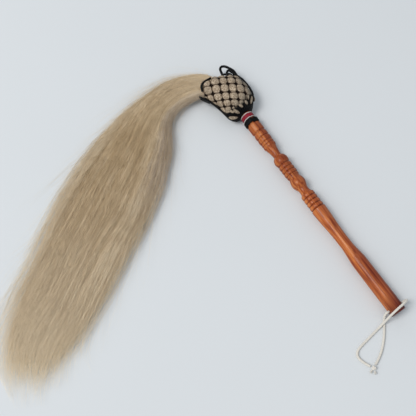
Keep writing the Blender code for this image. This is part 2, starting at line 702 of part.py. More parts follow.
def make_throat(parts, cutters, hair):
    """Hair from the mouth to the bend: a round root that turns in its seat, then the bundle."""
    sides = THROAT_RIDGES * 2
    start = throat_centre()
    out = mouth_direction()
    rings = []
    side = out.cross(Vector((0.0, 0.0, 1.0)))
    for degrees in (-82, -66, -48, -30, -12, 8, 26):
        along = math.sin(math.radians(degrees)) * THROAT_BALL_RADIUS
        share = math.cos(math.radians(degrees))
        rings.append(hair_ring(
            start + out * along, side, THROAT_BALL_RADIUS * share,
            THROAT_BALL_HALF_HEIGHT * share, sides,
        ))
    bend = bend_centre()
    centres = [start, start + out * (THROAT_BALL_RADIUS * 0.45)]
    for from_neck, y, _, half_height in THROAT_SECTIONS:
        centres.append(Vector((-(neck + from_neck), y, surface_z + half_height)))
    centres.append(bend + Vector((0.0, KNUCKLE_LIP, 0.0)))
    half_sizes = [row[2:] for row in THROAT_SECTIONS]
    half_sizes.append((KNUCKLE_HALF_WIDTH + FIT_GAP, TAIL_SECTIONS[0][3]))
    for i, (half_width, half_height) in enumerate(half_sizes):
        before = centres[i + 1]
        centre = centres[i + 2]
        after = centres[i + 3] if i + 3 < len(centres) else centre - Vector((0.0, KNUCKLE_LIP, 0.0))
        direction = (after - before)
        direction.z = 0.0
        side = direction.normalized().cross(Vector((0.0, 0.0, 1.0)))
        if i == len(half_sizes) - 1:
            side = Vector((-1.0, 0.0, 0.0))
        ridge = THROAT_RIDGE_HEIGHT * (i + 1) / len(half_sizes)
        rings.append(hair_ring(centre, side, half_width, half_height, sides, THROAT_FULLNESS, ridge))
    throat = mesh_object("hair_throat", loft(rings, True), parts, hair)
    seat_radius = KNUCKLE_RADIUS + SEAT_GAP
    reach = KNUCKLE_HALF_WIDTH * 1.5
    outline = [(0.0, -reach), (seat_radius, -reach), (seat_radius, reach), (0.0, reach)]
    seat = turned("knuckle_seat_cutter", outline, cutters, sides=32)
    seat.rotation_euler = (0.0, math.radians(90), 0.0)
    seat.location = bend
    cut(throat, seat)


def tail_length_table():
    fine = 16
    rows = [through(TAIL_SECTIONS, i / fine) for i in range((len(TAIL_SECTIONS) - 1) * fine + 1)]
    lengths = [0.0]
    for first, second in zip(rows, rows[1:]):
        lengths.append(lengths[-1] + math.hypot(second[0] - first[0], second[1] - first[1]))
    return rows, lengths


def tail_row(table, share):
    """Centre, side direction and half sizes of the tail at a share of its length."""
    rows, lengths = table
    target = lengths[-1] * share
    index = 0
    while index < len(lengths) - 2 and lengths[index + 1] < target:
        index += 1
    part = (target - lengths[index]) / (lengths[index + 1] - lengths[index])
    from_neck, y, half_width, half_height = [
        low + (high - low) * part for low, high in zip(rows[index], rows[index + 1])
    ]
    ahead = Vector((rows[index][0] - rows[index + 1][0], rows[index + 1][1] - rows[index][1], 0.0))
    side = ahead.normalized().cross(Vector((0.0, 0.0, 1.0)))
    centre = Vector((-(neck + from_neck), y, surface_z - FLAT_CUT + half_height))
    return centre, side, half_width, half_height


def tail_point(row, across, rise):
    """Point of a section; across and rise run from -1 to 1."""
    centre, side, half_width, half_height = row
    rounded = math.sqrt(1.0 - 0.85 * across * across)
    point = centre + side * (across * half_width)
    point.z = max(point.z + rise * rounded * half_height, surface_z)
    return point


def make_tail(parts, hair):
    """Strands of hair grown from a slice whose rounded back turns in the throat's seat."""
    bend = bend_centre()
    height = math.sqrt(KNUCKLE_RADIUS ** 2 - KNUCKLE_FRONT ** 2)
    bm = bmesh.new()
    across_key = bm.verts.layers.float.new("across")
    rise_key = bm.verts.layers.float.new("rise")
    bmesh.ops.create_grid(bm, x_segments=STRAND_COLUMNS, y_segments=STRAND_ROWS, size=1.0)
    for vertex in bm.verts:
        across, rise = vertex.co.x, vertex.co.y
        vertex[across_key] = across
        vertex[rise_key] = rise
        vertex.co = bend + Vector((-across * KNUCKLE_HALF_WIDTH, -KNUCKLE_FRONT, rise * height))
    rim = [edge for edge in bm.edges if edge.is_boundary]
    front = bmesh.ops.triangulate(bm, faces=bm.faces, quad_method="ALTERNATE")["faces"]
    start_angle = math.asin(-KNUCKLE_FRONT / KNUCKLE_RADIUS)
    steps = 3
    for step in range(1, steps + 1):
        grown = bmesh.ops.extrude_edge_only(bm, edges=rim)["geom"]
        angle = start_angle + (math.pi / 2 - start_angle) * step / steps
        for vertex in (item for item in grown if isinstance(item, bmesh.types.BMVert)):
            vertex.co.y = bend.y + KNUCKLE_RADIUS * math.sin(angle)
            vertex.co.z = bend.z + vertex[rise_key] * KNUCKLE_RADIUS * math.cos(angle)
        rim = [item for item in grown if isinstance(item, bmesh.types.BMEdge)]
        rim = [edge for edge in rim if edge.is_boundary]
    bmesh.ops.remove_doubles(bm, verts=bm.verts, dist=0.00001)

    table = tail_length_table()
    chance = random.Random(STRAND_SEED)
    faces = front
    for share, fullness in zip(STRAND_RINGS, STRAND_FULLNESS):
        row = tail_row(table, share)
        faces = bmesh.ops.extrude_discrete_faces(bm, faces=faces)["faces"]
        for face in faces:
            across, rise = strand_middle(face, across_key, rise_key)
            for vertex in face.verts:
                vertex.co = tail_point(
                    row,
                    across + (vertex[across_key] - across) * fullness,
                    rise + (vertex[rise_key] - rise) * fullness,
                )
    last_row = tail_row(table, STRAND_RINGS[-1])
    end_row = tail_row(table, 1.0)
    tips = []
    for face in faces:
        across, rise = strand_middle(face, across_key, rise_key)
        root = tail_point(last_row, across, rise)
        reach = chance.uniform(STRAND_SHORTEST, 1.0)
        tips.append(root.lerp(tail_point(end_row, across, rise), reach))
    pokes = bmesh.ops.poke(bm, faces=faces)["verts"]
    for vertex, tip in zip(pokes, tips):
        vertex.co = tip
    bmesh.ops.recalc_face_normals(bm, faces=bm.faces)
    mesh_object("hair_tail", bm, parts, hair)


def strand_middle(face, across_key, rise_key):
    across = sum(vertex[across_key] for vertex in face.verts) / len(face.verts)
    rise = sum(vertex[rise_key] for vertex in face.verts) / len(face.verts)
    return across, rise


def make_wrist_cord(parts, cotton):
    """Cotton cord through the handle's cross hole, tied in a loop that lies on the table."""
    spacing = WRIST_CORD * 2.2
    for name, route in (("wrist_cord_over", OVER_ROUTE), ("wrist_cord_under", UNDER_ROUTE)):
        points = spaced_route(route, spacing)
        print(f"{name}: length {route_length(points) * 1000:.1f} mm")
        cord(name, points, WRIST_CORD, parts, cotton)
    reach = OVER_ROUTE[0][1] - WRIST_CORD * 0.4
    inside = [Vector((-CORD_HOLE_FROM_BUTT, share * reach, 0.0)) for share in (-1.0, 0.0, 1.0)]
    cord("wrist_cord_in_hole", inside, WRIST_CORD, parts, cotton)

    bm = bmesh.new()
    bmesh.ops.create_uvsphere(bm, u_segments=16, v_segments=10, radius=1.0)
    for vertex in bm.verts:
        turn = math.atan2(vertex.co.y, vertex.co.x)
        level = vertex.co.z
        lobe = math.cos(3 * turn + 2.4 * level) * (1.0 - level * level)
        vertex.co *= KNOT_RADIUS + KNOT_LOBE * lobe
    knot = mesh_object("wrist_knot", bm, parts, cotton)
    knot.location = KNOT_CENTRE

    centre = Vector(KNOT_CENTRE)
    for name, heading in (("frayed_end_long", -20), ("frayed_end_short", -75)):
        bm = bmesh.new()
        bmesh.ops.create_cone(
            bm, cap_ends=True, segments=10, radius1=FRAYED_ROOT_RADIUS,
            radius2=FRAYED_TIP_RADIUS, depth=FRAYED_LENGTH,
        )
        end = mesh_object(name, bm, parts, cotton)
        angle = math.radians(heading)
        away = Vector((math.cos(angle), math.sin(angle), FRAYED_SLOPE)).normalized()
        reach = KNOT_RADIUS + KNOT_LOBE + FIT_GAP + FRAYED_LENGTH / 2
        end.rotation_euler = away.to_track_quat("Z", "X").to_euler()
        end.location = centre + away * reach


def main():
    clear_scene()
    parts = new_collection("fly_whisk")
    cutters = new_collection("fly_whisk_cutters")
    axis = bpy.data.objects.new("handle_axis", None)
    axis.rotation_euler = (0.0, math.radians(-90), 0.0)
    parts.objects.link(axis)

    wood = new_material("varnished_wood", (0.42, 0.13, 0.05), 0.28)
    black = new_material("black_cord", (0.012, 0.014, 0.013), 0.55)
    red = new_material("red_thread", (0.50, 0.015, 0.03), 0.5)
    white = new_material("white_thread", (0.78, 0.76, 0.72), 0.6)
    ivory = new_material("ivory_weave", (0.56, 0.46, 0.33), 0.6)
    hair = new_material("flaxen_hair", (0.55, 0.43, 0.30), 0.5)
    waxed = new_material("waxed_thread", (0.16, 0.11, 0.06), 0.6)
    cotton = new_material("cotton_cord", (0.76, 0.72, 0.65), 0.8)

    make_handle(parts, cutters, axis, wood)
    make_windings(parts, axis, black, red, white)
    make_roots(parts, axis, hair, waxed)
    make_hood(parts, ivory)
    make_padding(parts, cutters, axis, black)
    make_gather(parts, black)
    make_edge_cords(parts, black)
    make_tab(parts, black)
    make_throat(parts, cutters, hair)
    make_tail(parts, hair)
    make_wrist_cord(parts, cotton)


main()
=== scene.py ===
"""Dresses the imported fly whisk: finishes, woven head, flowing hair, cords, stage and camera.

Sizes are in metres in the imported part's frame: +X out of the butt along the handle, +Z up.
"""
import math

import bmesh
import bpy
import numpy as np
from bpy.props import FloatProperty, FloatVectorProperty, IntProperty, PointerProperty
from mathutils import Matrix, Vector


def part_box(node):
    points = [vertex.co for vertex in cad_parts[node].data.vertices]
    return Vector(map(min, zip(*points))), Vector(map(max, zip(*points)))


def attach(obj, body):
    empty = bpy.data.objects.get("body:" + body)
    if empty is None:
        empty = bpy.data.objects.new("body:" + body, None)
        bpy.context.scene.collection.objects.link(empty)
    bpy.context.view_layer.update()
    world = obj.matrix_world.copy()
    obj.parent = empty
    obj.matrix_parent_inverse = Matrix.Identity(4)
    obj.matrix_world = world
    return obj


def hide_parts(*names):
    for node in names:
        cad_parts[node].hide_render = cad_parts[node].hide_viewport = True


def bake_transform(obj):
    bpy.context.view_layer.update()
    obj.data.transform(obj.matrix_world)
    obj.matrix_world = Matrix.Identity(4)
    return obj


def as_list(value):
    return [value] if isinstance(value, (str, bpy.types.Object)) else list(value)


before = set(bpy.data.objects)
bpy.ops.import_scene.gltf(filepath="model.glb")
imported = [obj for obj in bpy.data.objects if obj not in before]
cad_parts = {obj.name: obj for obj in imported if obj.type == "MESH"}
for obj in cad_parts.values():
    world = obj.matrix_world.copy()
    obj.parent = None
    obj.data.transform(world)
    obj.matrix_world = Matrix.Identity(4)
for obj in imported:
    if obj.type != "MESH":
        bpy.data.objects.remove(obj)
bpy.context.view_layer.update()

bl_info = {
    "name": "Fly whisk dresser",
    "version": (1, 0, 0),
    "blender": (4, 5, 0),
    "location": "View3D > Sidebar > Whisk",
    "description": "Builds the finishes, weave, hair and cords of a fly whisk round its packed part",
    "category": "Object",
}

SURFACE_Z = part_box("hair_tail")[0].z
# A cord turns no further than this about itself; beyond it its strands run straight
MOST_TWIST = 120 * math.pi

# Handle, from the butt up
GRIP_END = 0.0850
WAIST_FROM, WAIST_TO = 0.1170, 0.1290
BEADS_FROM = 0.1855
NECK_FROM, PEAR_FROM, LIP_FROM = 0.2133, 0.2238, 0.2470
MIDDLE_BEADS_FROM, BALL_FROM, TAPER_FROM = 0.2508, 0.2709, 0.2899
UPPER_BEADS_FROM, TOP_GROOVE_FROM, TOP_FROM = 0.3073, 0.3365, 0.3395
COLLAR_FROM = 0.3532
NECK = 0.37778
GRIP_RADIUS, WAIST_RADIUS, BUTT_RADIUS = 0.0112, 0.0086, 0.0114
HOLE_X, HOLE_RADIUS = -0.0085, 0.0023

# Head: sections of the cover, as the part has them: distance from the neck, centre Y and half
# width in 0.1 mm, turn about Z in hundredths of a radian, top in 0.1 mm
HOOD_SECTIONS = np.array((
    (2, 0, 93, 0, 93), (16, -15, 150, 12, 128), (48, -15, 205, 20, 163), (98, -8, 245, 22, 197),
    (168, -2, 266, 22, 225), (268, -6, 278, 18, 245), (378, -20, 289, 12, 250), (488, -40, 302, 10, 240),
    (588, -75, 298, 12, 222), (658, -115, 268, 20, 203), (698, -155, 228, 30, 187), (733, -195, 192, 40, 175),
)) / (1e4, 1e4, 1e4, 1e2, 1e4)
HOOD_SHOULDER = 0.0268
NECK_UNDERSIDE = -0.0093
HOOD_SQUARENESS = 2.5
HOOD_LAST = len(HOOD_SECTIONS) - 1
EDGE_CORD = 0.0037

# Weave: directions on the flattened cover, the rows and columns of holes in mm and the columns' lean
WEAVE_P = np.array((0.5402, 0.8415))
WEAVE_Q = np.array((-0.8415, 0.5402))
HOLE_COLUMNS = np.array((
    -313, -299, -285, -271, -257, -243, -230.5, -217.5, -205, -192, -179, -166, -153,
)) / 1e3
HOLE_ROWS = np.array((
    264, 275.5, 287, 298, 309, 320, 330.5, 343, 359, 373.5, 389, 404, 418, 432,
)) / 1e3
WEAVE_LEAN, LEAN_ROW = -0.12, 0.3505
PAD_ROUNDNESS = 2.6
BAND_WAVE, HEM = 0.0008, 0.0012
BAND_MARKS = ("edge", "braid", "dull", "corner")
# Where the black cords of the neck give way to the weave: turn in degrees and section
GATHER_END = (
    (0, 3.4), (10, 3.4), (40, 3.3), (59, 3.0), (83, 2.8), (98, 2.9), (111, 3.1), (135, 3.6), (156, 4.0), (180, 4.2),
)
# Ivory loops between the gathered cords: section, turn, lean, length, width in mm
NECK_LOOPS = (
    (2.3, 160, -147, 12.6, 4.8), (2.5, 127, -164, 10.8, 4.6), (4.0, 154, -140, 9.7, 4.0), (2.45, 44, 165, 12.6, 5.4),
    (2.55, 76, -150, 9.6, 4.4), (2.8, 100, -150, 9.0, 4.2), (3.25, 62, 175, 8.0, 3.4), (3.3, 140, -155, 7.5, 3.4),
    (2.9, 2, 170, 9.0, 4.0), (2.4, -35, 150, 11.0, 5.0), (2.5, -72, -160, 9.0, 4.2), (2.4, -104, 160, 10.0, 4.4),
    (2.8, -126, -150, 9.0, 4.4),
)
GATHERED_CORDS = 34

# Hair: sections in 0.1 mm: centre X, centre Y, half width, half height
HAIR_SECTIONS = np.array((
    (-4455, -178, 136, 92), (-4562, -236, 192, 108), (-4662, -478, 244, 120), (-4715, -752, 282, 125),
    (-4682, -1035, 314, 128), (-4590, -1290, 390, 130), (-4440, -1535, 495, 130), (-4275, -1760, 590, 130),
    (-4120, -2000, 645, 128), (-3955, -2230, 690, 126), (-3640, -2700, 725, 120), (-3310, -3170, 705, 110),
    (-2975, -3628, 672, 96), (-2660, -4102, 640, 80), (-2335, -4515, 560, 62), (-1935, -4790, 430, 42),
    (-1675, -4917, 350, 34),
)) / 1e4
STRAY_LIMIT = (-0.512, -0.496)
ROOT_LENGTH, ROOT_RINGS, TAIL_RINGS = 0.0480, 9, 18
SWING_OUT = Vector((-0.92106, -0.38942, 0.0))

# Wrist cord: the routes from the mouths of the hole to the knot, as the part has them, in 0.1 mm
OVER_ROUTE = np.array((
    (-85, 117, 0), (-85, 134, 1), (-85, 155, 9), (-82, 172, 28), (-78, 179, 55), (-73, 171, 84),
    (-67, 147, 111), (-60, 109, 133), (-53, 62, 144), (-47, 12, 145), (-41, -37, 139), (-35, -83, 122),
    (-29, -122, 91), (-23, -155, 49), (-15, -187, 3), (-6, -222, -39), (4, -265, -74), (15, -318, -96),
    (26, -380, -102), (42, -470, -102), (59, -570, -102), (75, -660, -102), (90, -727, -102), (113, -780, -102),
    (155, -812, -102), (209, -816, -102), (266, -800, -101), (320, -777, -98), (359, -757, -94),
)) / 1e4
UNDER_ROUTE = np.array((
    (-85, -117, 0), (-85, -134, -3), (-81, -153, -17), (-72, -170, -40), (-56, -186, -67), (-32, -203, -89),
    (-1, -224, -100), (37, -252, -102), (85, -291, -102), (143, -343, -102), (206, -406, -102),
    (264, -475, -102), (312, -545, -102), (352, -618, -100), (379, -685, -95),
)) / 1e4
KNOT_CENTRE, KNOT_SCALE = Vector((0.0402, -0.0734, -0.0078)), 0.00066

STAGE_MIDDLE = Vector((-0.25, -0.2, 0.0))
CAMERA_PLACE = Vector((0.02012, -0.32526, 0.82248))
CAMERA_AIM = Vector((-0.32881, 0.21108, -0.92050))
HALF_VIEW = math.radians(19)


# Sizes and colours that a user would change

def colour(name, description, default):
    return FloatVectorProperty(
        name=name, description=description, default=default, subtype="COLOR", min=0.0, max=1.0,
    )


def number(name, description, default, low, high, **kind):
    return FloatProperty(name=name, description=description, default=default, min=low, max=high, **kind)


class WhiskWoodSettings(bpy.types.PropertyGroup):
    light: colour("Light grain", "Colour of the pale streaks", (0.60, 0.205, 0.058))
    middle: colour("Grain", "Main colour of the varnished wood", (0.44, 0.112, 0.027))
    dark: colour("Dark grain", "Colour of the dark streaks", (0.20, 0.036, 0.013))
    gloss: number("Varnish roughness", "Roughness of the varnish coat", 0.20, 0.0, 1.0, subtype="FACTOR")


class WhiskHeadSettings(bpy.types.PropertyGroup):
    waist: number(
        "Band waist", "Width of a band where it dives, as a share of its lane; less gives larger holes",
        0.43, 0.3, 0.95, subtype="FACTOR",
    )
    relief: number("Relief", "Height of a pad's crown", 0.0017, 0.0, 0.004, unit="LENGTH")
    ivory: colour("Ivory", "Colour of the woven bands", (0.67, 0.545, 0.400))
    # Band edge is the painted shade at the pads' corners beside the holes
    outline: colour("Band edge", "Colour of the bands' dark edges", (0.030, 0.014, 0.009))
    black: colour("Black cord", "Colour of the black cords", (0.0035, 0.0038, 0.0042))
    red: colour("Red thread", "Colour of the red band", (0.29, 0.007, 0.024))
    white: colour("White thread", "Colour of the white threads", (0.72, 0.70, 0.67))


class WhiskHairSettings(bpy.types.PropertyGroup):
    strands: IntProperty(name="Strands", description="Number of drawn strands", default=11000, min=300, max=20000)
    locks: IntProperty(
        name="Locks", description="Number of locks that the strands gather in", default=420, min=10, max=900,
    )
    thickness: number("Strand", "Diameter of a strand at its middle", 0.00044, 0.0001, 0.002, unit="LENGTH")
    dark: colour("Dark hair", "Colour of the darkest strands", (0.38, 0.258, 0.138))
    middle: colour("Hair", "Main colour of the strands", (0.640, 0.470, 0.268))
    cool: colour("Cool hair", "Colour of the grey strands along the inner edge", (0.52, 0.420, 0.365))
    pale: colour("Pale hair", "Colour of the palest strands", (1.0, 0.860, 0.640))


class WhiskCordSettings(bpy.types.PropertyGroup):
    diameter: number("Diameter", "Diameter of the wrist cord", 0.0036, 0.001, 0.008, unit="LENGTH")
    lay: number("Lay", "Length of one turn of the cord's strands", 0.0105, 0.002, 0.04, unit="LENGTH")
    cotton: colour("Cotton", "Colour of the wrist cord", (0.80, 0.755, 0.68))


class WhiskStageSettings(bpy.types.PropertyGroup):
    floor: colour("Floor", "Colour of the floor", (0.692, 0.718, 0.738))
    sky: number("Fill light", "Strength of the even light from all round", 0.52, 0.0, 3.0)
    key: number("Ceiling light", "Power of the lamp overhead", 106.0, 0.0, 500.0, unit="POWER")
    window: number("Window light", "Power of the broad lamp at the side", 94.0, 0.0, 500.0, unit="POWER")


def settings(group):
    return getattr(bpy.context.scene, "whisk_" + group)


# Node building

def add_node(tree, kind, inputs=(), **options):
    """Adds a node; inputs pairs a socket's name or index with a value or an output socket."""
    made = tree.nodes.new(kind)
    for key, value in options.items():
        setattr(made, key, value)
    for key, value in inputs:
        socket = made.inputs[key]
        if isinstance(value, bpy.types.NodeSocket):
            tree.links.new(value, socket)
        else:
            socket.default_value = (*value, 1.0) if socket.type == "RGBA" else value
    return made


def ramp(tree, factor, *stops):
    """Colour ramp through stops of (position, colour or grey)."""
    made = add_node(tree, "ShaderNodeValToRGB", [("Fac", factor)])
    elements = made.color_ramp.elements
    while len(elements) < len(stops):
        elements.new(0.5)
    for element, (position, shade) in zip(elements, stops):
        element.position = position
        element.color = (*shade, 1.0) if hasattr(shade, "__len__") else (shade, shade, shade, 1.0)
    return made.outputs["Color"]


def mixed(tree, factor, first, second, mode="MIX"):
    inputs = [(0, factor), (6, first), (7, second)]
    return add_node(tree, "ShaderNodeMix", inputs, data_type="RGBA", blend_type=mode).outputs[2]


def maths(tree, operation, first, second, third=0.5, clamp=False):
    inputs = [(0, first), (1, second), (2, third)]
    return add_node(tree, "ShaderNodeMath", inputs, operation=operation, use_clamp=clamp).outputs[0]


def attribute(tree, name, strength=None):
    value = add_node(tree, "ShaderNodeAttribute", attribute_name=name).outputs["Fac"]
    return value if strength is None else maths(tree, "MULTIPLY", value, strength)


def noise(tree, scale, detail=3.0, roughness=0.55):
    """Noise in the object's coordinates; scale is one number or socket, or three numbers along the axes."""
    stretch, scale = (scale, 1.0) if isinstance(scale, tuple) else ((1.0, 1.0, 1.0), scale)
    where = add_node(tree, "ShaderNodeTexCoord").outputs["Object"]
    where = add_node(tree, "ShaderNodeMapping", [("Vector", where), ("Scale", stretch)]).outputs["Vector"]
    inputs = [("Vector", where), ("Scale", scale), ("Detail", detail), ("Roughness", roughness)]
    return add_node(tree, "ShaderNodeTexNoise", inputs).outputs["Fac"]


def fibre_group():
    """Fine fibres and slow patches on any yarn: a tinted colour and a height."""
    name = "Yarn fibres"
    if name in bpy.data.node_groups:
        return bpy.data.node_groups[name]
    group = bpy.data.node_groups.new(name, "ShaderNodeTree")
    for label, way, kind in (
        ("Colour", "INPUT", "Color"), ("Scale", "INPUT", "Float"), ("Depth", "INPUT", "Float"),
        ("Colour", "OUTPUT", "Color"), ("Height", "OUTPUT", "Float"),
    ):
        group.interface.new_socket(label, in_out=way, socket_type="NodeSocket" + kind)
    entry = group.nodes.new("NodeGroupInput").outputs
    fine = noise(group, entry["Scale"], 4.0, 0.6)
    shade = maths(group, "MULTIPLY_ADD", fine, 0.7, noise(group, 90.0, 2.0))
    darker = maths(group, "MULTIPLY", maths(group, "SUBTRACT", 1.25, shade, clamp=True), entry["Depth"])
    tinted = mixed(group, darker, entry["Colour"], (0.0, 0.0, 0.0))
    add_node(group, "NodeGroupOutput", [("Colour", tinted), ("Height", fine)])
    return group


def fibres(tree, shader, tint, scale, depth):
    """Puts the fibres' colour on the shader and returns their height."""
    inputs = [("Colour", tint), ("Scale", scale), ("Depth", depth)]
    made = add_node(tree, "ShaderNodeGroup", inputs, node_tree=fibre_group())
    tree.links.new(made.outputs["Colour"], shader.inputs["Base Color"])
    return made.outputs["Height"]


def new_material(name, **values):
    """Material, its nodes and its shader; values are the shader's, with _ for a space in their names."""
    material = bpy.data.materials.new(name)
    material.use_nodes = True
    shader = material.node_tree.nodes["Principled BSDF"]
    for key, value in values.items():
        shader.inputs[key.replace("_", " ")].default_value = value
    return material, material.node_tree, shader


def bump(tree, shader, height, distance, strength=1.0):
    made = add_node(tree, "ShaderNodeBump", [("Height", height), ("Distance", distance), ("Strength", strength)])
    tree.links.new(made.outputs["Normal"], shader.inputs["Normal"])


def yarn_material(name, tint, roughness, scale, depth, height=0.00012, sheen=0.0, specular=0.35):
    if name in bpy.data.materials:
        return bpy.data.materials[name]
    material, tree, shader = new_material(
        name, Roughness=roughness, Specular_IOR_Level=specular, Sheen_Weight=sheen,
    )
    bump(tree, shader, fibres(tree, shader, tint, scale, depth), height)
    return material


def black_material():
    return yarn_material("black_cord_finish", settings("head").black, 0.46, 1200.0, 0.35, 0.00010, 0.0, 0.16)


# Shaping helpers

def unit(value):
    return np.clip(value, 0, 1)


def smooth(share):
    return share * share * (3 - 2 * share)


def through(rows, where):
    """Catmull-Rom curve through equal rows, at an array of places counted in rows."""
    rows = np.asarray(rows, float)
    last = len(rows) - 1
    index = np.clip(np.floor(where).astype(int), 0, last - 1)
    share = (where - index)[:, None]
    before = rows[np.maximum(index - 1, 0)]
    first = rows[index]
    second = rows[index + 1]
    after = rows[np.minimum(index + 2, last)]
    slope_in = (second - before) / 2
    slope_out = (after - first) / 2
    cubic = 2 * first - 2 * second + slope_in + slope_out
    square = -3 * first + 3 * second - 2 * slope_in - slope_out
    return ((cubic * share + square) * share + slope_in) * share + first


def walked_along(points):
    """Distance walked along a line at each of its points."""
    steps = np.linalg.norm(np.diff(points, axis=0), axis=1)
    return np.concatenate(([0.0], np.cumsum(steps)))


def spaced(route, spacing):
    """Equally spaced points on a smooth curve through a route's own points."""
    fine = through(route, np.linspace(0, len(route) - 1, (len(route) - 1) * 24 + 1))
    walked = walked_along(fine)
    count = max(3, round(walked[-1] / spacing) + 1)
    targets = np.linspace(0, walked[-1], count)
    return np.stack([np.interp(targets, walked, column) for column in fine.T], axis=1)


def linked(name, data):
    """Object with its data, linked to the scene."""
    thing = bpy.data.objects.new(name, data)
    bpy.context.scene.collection.objects.link(thing)
    return thing


def finish_mesh(name, bm, material, sharp=None):
    bmesh.ops.remove_doubles(bm, verts=bm.verts, dist=0.0000005)
    bmesh.ops.recalc_face_normals(bm, faces=bm.faces)
    mesh = bpy.data.meshes.new(name)
    bm.to_mesh(mesh)
    bm.free()
    mesh.shade_smooth()
    if sharp is not None:
        mesh.set_sharp_from_angle(angle=math.radians(sharp))
    mesh.materials.append(material)
    return linked(name, mesh)


def evaluated_mesh(thing):
    return bpy.data.meshes.new_from_object(thing.evaluated_get(bpy.context.evaluated_depsgraph_get()))


def mark(mesh, name, values):
    mesh.attributes.new(name, "FLOAT", "POINT").data.foreach_set("value", values.astype(np.float32))


def above_table(points, gap):
    points[:, 2] = np.maximum(points[:, 2], SURFACE_Z + gap)


def tubes(name, outline, lines, caps=False):
    """Mesh of tubes whose section is an outline; each line is its points, its twist and its radius at them."""
    section = bpy.data.curves.new(name + "_section", "CURVE")
    section.dimensions = "2D"
    ring = section.splines.new("POLY")
    ring.points.add(len(outline) - 1)
    for target, (x, y) in zip(ring.points, outline):
        target.co = (x, y, 0.0, 1.0)
    ring.use_cyclic_u = True
    curve = bpy.data.curves.new(name, "CURVE")
    curve.dimensions = "3D"
    curve.bevel_mode = "OBJECT"
    curve.bevel_object = linked(name + "_section", section)
    curve.use_fill_caps = caps
    for points, twist, radius in lines:
        spline = curve.splines.new("POLY").points
        spline.add(len(points) - 1)
        packed = np.column_stack((points, np.ones(len(points))))
        for key, values in (("co", packed), ("tilt", twist), ("radius", radius)):
            spline.foreach_set(key, values.astype(np.float32).ravel())
    holder = linked("holder", curve)
    mesh = evaluated_mesh(holder)
    bpy.data.objects.remove(holder)
    bpy.data.curves.remove(curve)
    bpy.data.curves.remove(section)
    return mesh


def laid_rope(name, points, diameter, material, strands, groove, lay, taper=0.0, power=2):
    """Tube of twisted strands along points; lay is the length of a turn, taper what its end loses."""
    outline = []
    for turn in np.arange(strands * 6) * 2 * math.pi / (strands * 6):
        radius = diameter / 2 * (1 - groove * (1 - abs(math.cos(strands * turn / 2))))
        outline.append((radius * math.cos(turn), radius * math.sin(turn)))
    points = np.array(points)
    radii = 1.0 - taper * (np.arange(len(points)) / (len(points) - 1)) ** power
    twist = np.minimum(2 * math.pi * walked_along(points) / lay, MOST_TWIST)
    mesh = tubes(name, outline, [(points, twist, radii)], caps=True)
    bm = bmesh.new()
    bm.from_mesh(mesh)
    bpy.data.meshes.remove(mesh)
    return finish_mesh(name, bm, material, sharp=50)


def place(thing, slot, *nodes):
    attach(thing, "whisk")
    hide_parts(*nodes)
    return thing


# Handle

def bead(start, length, crown, groove, steps=9):
    points = []
    for share in np.linspace(-1.0, 1.0, steps)[:-1]:
        height = math.sqrt(max(0.0, 1.0 - share * share))
        points.append((groove + (crown - groove) * height, start + length * (1 + share) / 2))
    return points


def eased(low, high, share):
    return low + (high - low) * share * share * (3 - 2 * share)


def handle_outline():
    """Turned outline (radius, distance from the butt) up to the end of the tenon."""
    points = [(0.0, 0.0), (0.0102, 0.0), (0.0109, 0.0003), (BUTT_RADIUS, 0.0010), (BUTT_RADIUS, 0.0320)]

    def turned(low, high, shares, radius):
        points.extend((radius(share), low + (high - low) * share) for share in shares)

    def beads(low, high, count, crown, groove, steps=9):
        pitch = (high - low) / count
        for i in range(count):
            points.extend(bead(low + i * pitch, pitch, crown, groove, steps))

    def neck(share):
        dip = math.sin(math.pi * min(1.0, share * 1.15)) * 0.0003
        return 0.0076 - dip + 0.0014 * (1 - share) ** 3

    def pear(share):
        swell = math.sin(math.pi * share ** 0.85) ** 0.8
        rounded = (0.5 - 0.5 * math.cos(math.pi * min(1.0, share / 0.48))) ** 0.85
        radius = 0.0075 + (0.0113 - 0.0075) * (swell if share > 0.48 else (swell + rounded) / 2)
        return max(radius, 0.0090) if share > 0.7 else radius

    turned(GRIP_END, WAIST_FROM, np.linspace(0, 1, 14), lambda share: eased(GRIP_RADIUS, WAIST_RADIUS, share))
    turned(WAIST_TO, BEADS_FROM, np.linspace(0, 0.97, 16), lambda share: eased(WAIST_RADIUS, GRIP_RADIUS, share))
    beads(BEADS_FROM, NECK_FROM, 4, 0.0108, 0.0095)
    points.append((0.0093, NECK_FROM))
    turned(NECK_FROM, PEAR_FROM, np.linspace(0.08, 1.0, 9), neck)
    turned(PEAR_FROM, LIP_FROM, np.linspace(0.06, 0.94, 15), pear)
    beads(LIP_FROM, MIDDLE_BEADS_FROM, 1, 0.0100, 0.0090, 7)
    beads(MIDDLE_BEADS_FROM, BALL_FROM, 3, 0.0106, 0.0092)
    points.append((0.0090, BALL_FROM))
    for share in np.linspace(-0.62, 0.82, 18):
        points.append((0.0114 * math.sqrt(1 - share * share), BALL_FROM + 0.0077 + 0.0119 * share))
    turned(
        TAPER_FROM, UPPER_BEADS_FROM, np.linspace(0, 1, 12),
        lambda share: 0.0064 + (0.0092 - 0.0064) * share ** 1.6,
    )
    start = UPPER_BEADS_FROM
    for length, crown in ((0.0054, 0.0103), (0.0054, 0.0103), (0.0092, 0.0109), (0.0092, 0.0109)):
        points += bead(start, length, crown, 0.0095, 11)
        start += length
    return points + [
        (0.0095, TOP_GROOVE_FROM), (0.0095, TOP_FROM - 0.0013), (0.0106, TOP_FROM), (0.0109, TOP_FROM + 0.0008),
        (0.0109, COLLAR_FROM - 0.0006), (0.0104, COLLAR_FROM), (0.0087, COLLAR_FROM),
        (0.0087, NECK - 0.0003), (0.0052, NECK - 0.0003), (0.0052, NECK + 0.0220), (0.0, NECK + 0.0220),
    ]


